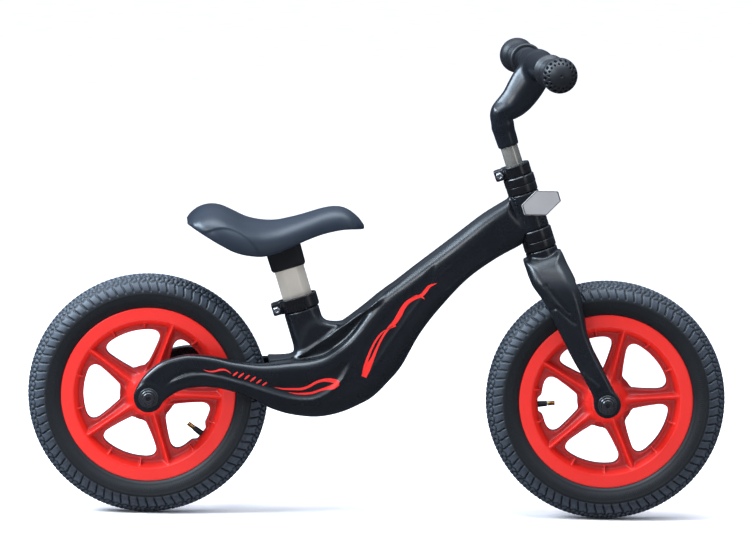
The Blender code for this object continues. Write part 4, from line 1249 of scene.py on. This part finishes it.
def make_posts(surfaces):
    """The round handlebar post and the seat post with its eight flats."""
    post = ((9.5, -15.0), (11.1, -15.0), (11.1, 108.0), (9.5, 108.0))
    piece = turned("polished_handlebar_post", post, STEERING, loop=True, corner=0.4)
    piece_points = np.empty(len(piece.data.vertices) * 3)
    piece.data.vertices.foreach_get("co", piece_points)
    piece.data.vertices.foreach_set("co", (turn_with_bar(piece_points.reshape(-1, 3) / MM) * MM).ravel())
    finish_piece(piece, surfaces["post"], "handlebar", "polished_aluminium", "handlebar_post", sharp=30)
    upper = np.array(((19.0, 6.0), (8.5, 15.0), (-8.5, 15.0), (-19.0, 6.0)))
    corners = np.vstack([upper, -upper])
    loop = []
    for before, corner, after in zip(np.roll(corners, 1, axis=0), corners, np.roll(corners, -1, axis=0)):
        for t in (0.0, 0.5, 1.0):
            first = corner + (before - corner) / np.linalg.norm(before - corner) * 1.1
            last = corner + (after - corner) / np.linalg.norm(after - corner) * 1.1
            loop.append((1 - t) ** 2 * first + 2 * t * (1 - t) * corner + t * t * last)
    loop = np.array(loop)
    rings = []
    for at, scale in ((-115.0, 0.97), (-114.4, 1.0), (39.4, 1.0), (40.0, 0.97)):
        rings.append(placed(SEAT, np.column_stack([loop * scale, np.full(len(loop), at)])))
    piece = rings_object("polished_seat_post", rings)
    finish_piece(piece, surfaces["aluminium"], "seat", "polished_aluminium", "seat_post", sharp=25)


def make_badge(surfaces):
    """The blank hexagonal plate, with a dark raised line round its face."""
    turn = math.radians(12)
    outward = np.array((math.sin(turn), -math.cos(turn), 0.0))
    forward = np.array((math.cos(turn), math.sin(turn), 0.0))
    upright = np.cross(outward, forward)
    place = (np.column_stack([forward, upright, outward]), np.array((201.0, -17.0, 404.0)))
    corners = np.array(((25.8, 2.6), (21.6, 15.0), (-7.2, 15.6)))
    corners = np.vstack([corners, -corners])

    def six(inset, height):
        scale = 1 - inset / 15.0
        loop = rounded(np.vstack([corners[-1:], corners, corners[:1]]) * scale, 1.2, 4)[1:-1]
        return placed(place, np.column_stack([loop, np.full(len(loop), height)]))

    plate = rings_object("blank_badge", [six(0.5, 4.0), six(0.0, 4.4), six(0.0, 5.8), six(0.4, 6.2)])
    finish_piece(plate, surfaces["badge"], "frame", "badge_silver", "head_badge", sharp=30)
    border = [six(0.35, 6.1), six(0.35, 6.28), six(1.0, 6.28), six(1.0, 6.1)]
    line = rings_object("badge_border", border, loop=True)
    finish_piece(line, surfaces["axle"], "frame", "badge_silver", "head_badge", sharp=30)


# ---------------------------------------------------------------- painted flames

# Each painted stroke: its name, points along it, and widths at even steps along it
FLAMES = (
    (
        "arm_wave",
        (
            (-221, 189), (-214, 187), (-207, 187.3), (-200, 189.4), (-193, 189), (-186, 184.5),
        ),
        (0.4, 1.8, 2.2, 2.4, 1.8, 0.4),
    ),
    (
        "belly_upper",
        (
            (-131, 167), (-120, 165), (-108, 164.6), (-98, 164.6), (-88, 167.4), (-79, 172.6),
            (-70, 175.4), (-62, 175.6), (-54, 174), (-49, 172.6),
        ),
        (0.4, 2.0, 2.6, 3.0, 3.2, 3.2, 3.6, 5.0, 5.6, 3.4),
    ),
    (
        "belly_lower",
        (
            (-113, 160.4), (-103, 158.8), (-93, 158.6), (-83, 159.6), (-73, 163), (-64, 165.6),
            (-57, 167.4), (-50, 171.4),
        ),
        (0.4, 1.8, 2.6, 2.8, 2.6, 3.8, 6.0, 4.4),
    ),
    (
        "beam_main",
        (
            (-18, 180), (-14, 190), (-7.5, 203), (-1, 219), (6, 233), (13, 243), (20, 250), (26, 260),
            (30, 268), (36, 275.5), (45, 281), (53, 284.5), (58, 290), (63, 296), (72, 300),
        ),
        (6.6, 8.4, 4.4, 2.8, 2.6, 3.4, 5.6, 6.4, 5.6, 5.0, 4.2, 3.6, 4.4, 3.4, 0.6),
    ),
    (
        "beam_left",
        (
            (-19, 182), (-16.6, 194), (-12, 208), (-6, 222), (1, 233), (8, 240),
        ),
        (3.4, 3.6, 3.0, 2.6, 2.4, 0.6),
    ),
    (
        "beam_spur",
        (
            (9, 240), (15, 243), (21, 246),
        ),
        (0.6, 2.4, 3.2),
    ),
    (
        "beam_hook",
        (
            (40, 281), (47, 283.4), (54, 282.2), (57, 279.4),
        ),
        (0.6, 2.4, 2.0, 0.5),
    ),
)
# Each dash: the middle's x and z, and its length
DASHES = (
    (-181, 184.2, 6.4), (-173.6, 182.4, 7.6), (-166, 180.2, 6.8), (-158.6, 177.6, 8.0),
    (-151, 174.6, 6.6), (-143.6, 171.6, 5.8),
)


def stroke_object(name, side, points, widths, tree, finish):
    """A painted stroke laid on the frame's side. side is -1 for the rider's right and 1 for the left."""
    line = curve(points, steps=8)
    reach = np.linspace(0, 1, len(line))
    width = np.interp(reach, np.linspace(0, 1, len(widths)), widths)
    tangent = np.gradient(line, axis=0)
    tangent /= np.linalg.norm(tangent, axis=1)[:, None]
    normal = np.column_stack([-tangent[:, 1], tangent[:, 0]])
    rows = []
    for at, n, w in zip(line, normal, width):
        row = []
        for share in np.linspace(-0.5, 0.5, 5):
            x, z = at + n * w * share
            hit, facing, _, _ = tree.ray_cast(Vector((x, side * 120.0, z)), Vector((0.0, -side, 0.0)))
            if hit is None:
                return None
            row.append(np.array(hit) + np.array(facing) * 0.16)
        rows.append(row)
    rows = np.array(rows)
    count = len(rows)
    index = np.arange(count * 5).reshape(count, 5)
    faces = [
        (index[i, j], index[i, j + 1], index[i + 1, j + 1], index[i + 1, j])
        for i in range(count - 1)
        for j in range(4)
    ]
    obj = mesh_object(name, rows.reshape(-1, 3), faces)
    bm = bmesh.new()
    bm.from_mesh(obj.data)
    bmesh.ops.recalc_face_normals(bm, faces=bm.faces)
    if sum(face.normal.y for face in bm.faces) * side < 0:
        bmesh.ops.reverse_faces(bm, faces=bm.faces)
    bm.to_mesh(obj.data)
    bm.free()
    return finish_piece(obj, finish, "frame", "wheel_red")


def make_flames(body, finish):
    """Lays every stroke and dash on both sides of the frame."""
    bm = bmesh.new()
    bm.from_mesh(body.data)
    bmesh.ops.scale(bm, vec=(1 / MM, 1 / MM, 1 / MM), verts=bm.verts)
    tree = BVHTree.FromBMesh(bm)
    bm.free()
    for side, hand in ((-1, "right"), (1, "left")):
        for name, points, widths in FLAMES:
            stroke_object(f"{name}_{hand}", side, points, widths, tree, finish)
        for number, (x, z, long) in enumerate(DASHES):
            half = long / 2
            across, up = 0.55 * half + 1.2, 0.75 * half
            points = ((x - across, z - up), (x - 0.2, z), (x + across, z + up))
            stroke_object(f"dash_{number}_{hand}", side, points, (1.6, 2.5, 1.6), tree, finish)


def paint_kept_nodes(finishes):
    """Gives every part of the CAD that still shows the finish that its slot names."""
    for obj in list(bpy.context.scene.objects):
        for held in obj.material_slots:
            name = held.material.name.split(".")[0] if held.material else ""
            if name in finishes and held.material is not finishes[name]:
                held.material = finishes[name]


FRONT_SPOKES = math.radians(4.8)
REAR_SPOKES = math.radians(-0.8)
FRONT_VALVE = math.radians(184.8)
REAR_VALVE = math.radians(-36.8)


def main():
    bpy.context.scene.view_settings.view_transform = "Standard"
    make_camera()
    make_lights()
    make_floor()
    cast_black = material("cast_black", (0.0050, 0.0060, 0.0078), 0.27, grain=480.0, bump=0.03)
    red = make_wheel_red()
    paint = material("flame_red", (0.60, 0.0105, 0.0060), 0.42, ior=1.38)
    rubber = make_tyre_rubber()
    surfaces = {
        "axle": material("blackened_steel", (0.014, 0.014, 0.016), 0.22),
        "valve": material("valve_rubber", (0.008, 0.008, 0.009), 0.45),
        "brass": material("brass", (0.60, 0.36, 0.11), 0.30, metallic=1.0),
        "clamp": material("clamp_black", (0.004, 0.004, 0.005), 0.28),
        "zinc": material("zinc_steel", (0.72, 0.72, 0.74), 0.25, metallic=1.0),
        "aluminium": material(
            "polished_aluminium", (0.60, 0.53, 0.44), 0.34, metallic=0.5, bump=0.04, uneven=0.08
        ),
        "post": material("polished_post", (0.27, 0.25, 0.22), 0.24, metallic=0.6, bump=0.04, uneven=0.06),
        "badge": material(
            "badge_silver", (0.36, 0.335, 0.325), 0.45, metallic=0.3, grain=900.0, bump=0.18
        ),
    }
    plastic = material("base_plastic", (0.0045, 0.0045, 0.0055), 0.45, grain=700.0, bump=0.16)
    slate = material("saddle_slate", (0.0080, 0.0132, 0.0220), 0.40, grain=900.0, bump=0.22)
    stem_black = material("stem_black", (0.0046, 0.0060, 0.0090), 0.30, grain=500.0, bump=0.05)
    grip_rubber = make_grip_rubber()
    body = make_main_frame(cast_black)
    make_flames(body, paint)
    make_fork(cast_black)
    make_stem(stem_black)
    make_grip("grip_left", 1, grip_rubber)
    make_grip("grip_right", -1, grip_rubber)
    make_saddle(slate)
    make_saddle_base(plastic, surfaces)
    make_clamp(
        "seat_clamp", (24.5, 21.2), (21.6, 18.3), (35.5, 8.5, 30.0), (-35.0, -18.0), -27.5, SEAT,
        "frame", surfaces,
    )
    make_clamp(
        "steerer_clamp", (18.5, 18.5), (13.3, 13.3), (28.5, 8.5, 22.6), (40.3, 55.0), 47.5, STEERING,
        "steering", surfaces,
    )
    make_headset(surfaces)
    make_posts(surfaces)
    make_badge(surfaces)
    paint_kept_nodes(
        {
            "zinc_steel": surfaces["zinc"], "axle_black": surfaces["axle"], "tube_rubber": surfaces["valve"],
            "valve_rubber": surfaces["valve"], "valve_brass": surfaces["brass"], "cast_black": cast_black,
            "clamp_black": surfaces["clamp"], "polished_aluminium": surfaces["aluminium"], "wheel_red": red,
            "base_plastic": plastic, "saddle_slate": slate, "grip_rubber": grip_rubber,
            "stem_black": stem_black, "badge_silver": surfaces["badge"], "tyre": rubber,
        }
    )
    for prefix, hub, spokes, valve in (
        ("rear", REAR_HUB, REAR_SPOKES, REAR_VALVE),
        ("front", FRONT_HUB, FRONT_SPOKES, FRONT_VALVE),
    ):
        make_wheel(prefix, hub, spokes, valve, red)
        make_tyre(prefix, hub, rubber)
        make_wheel_hardware(prefix, hub, valve, surfaces)


main()
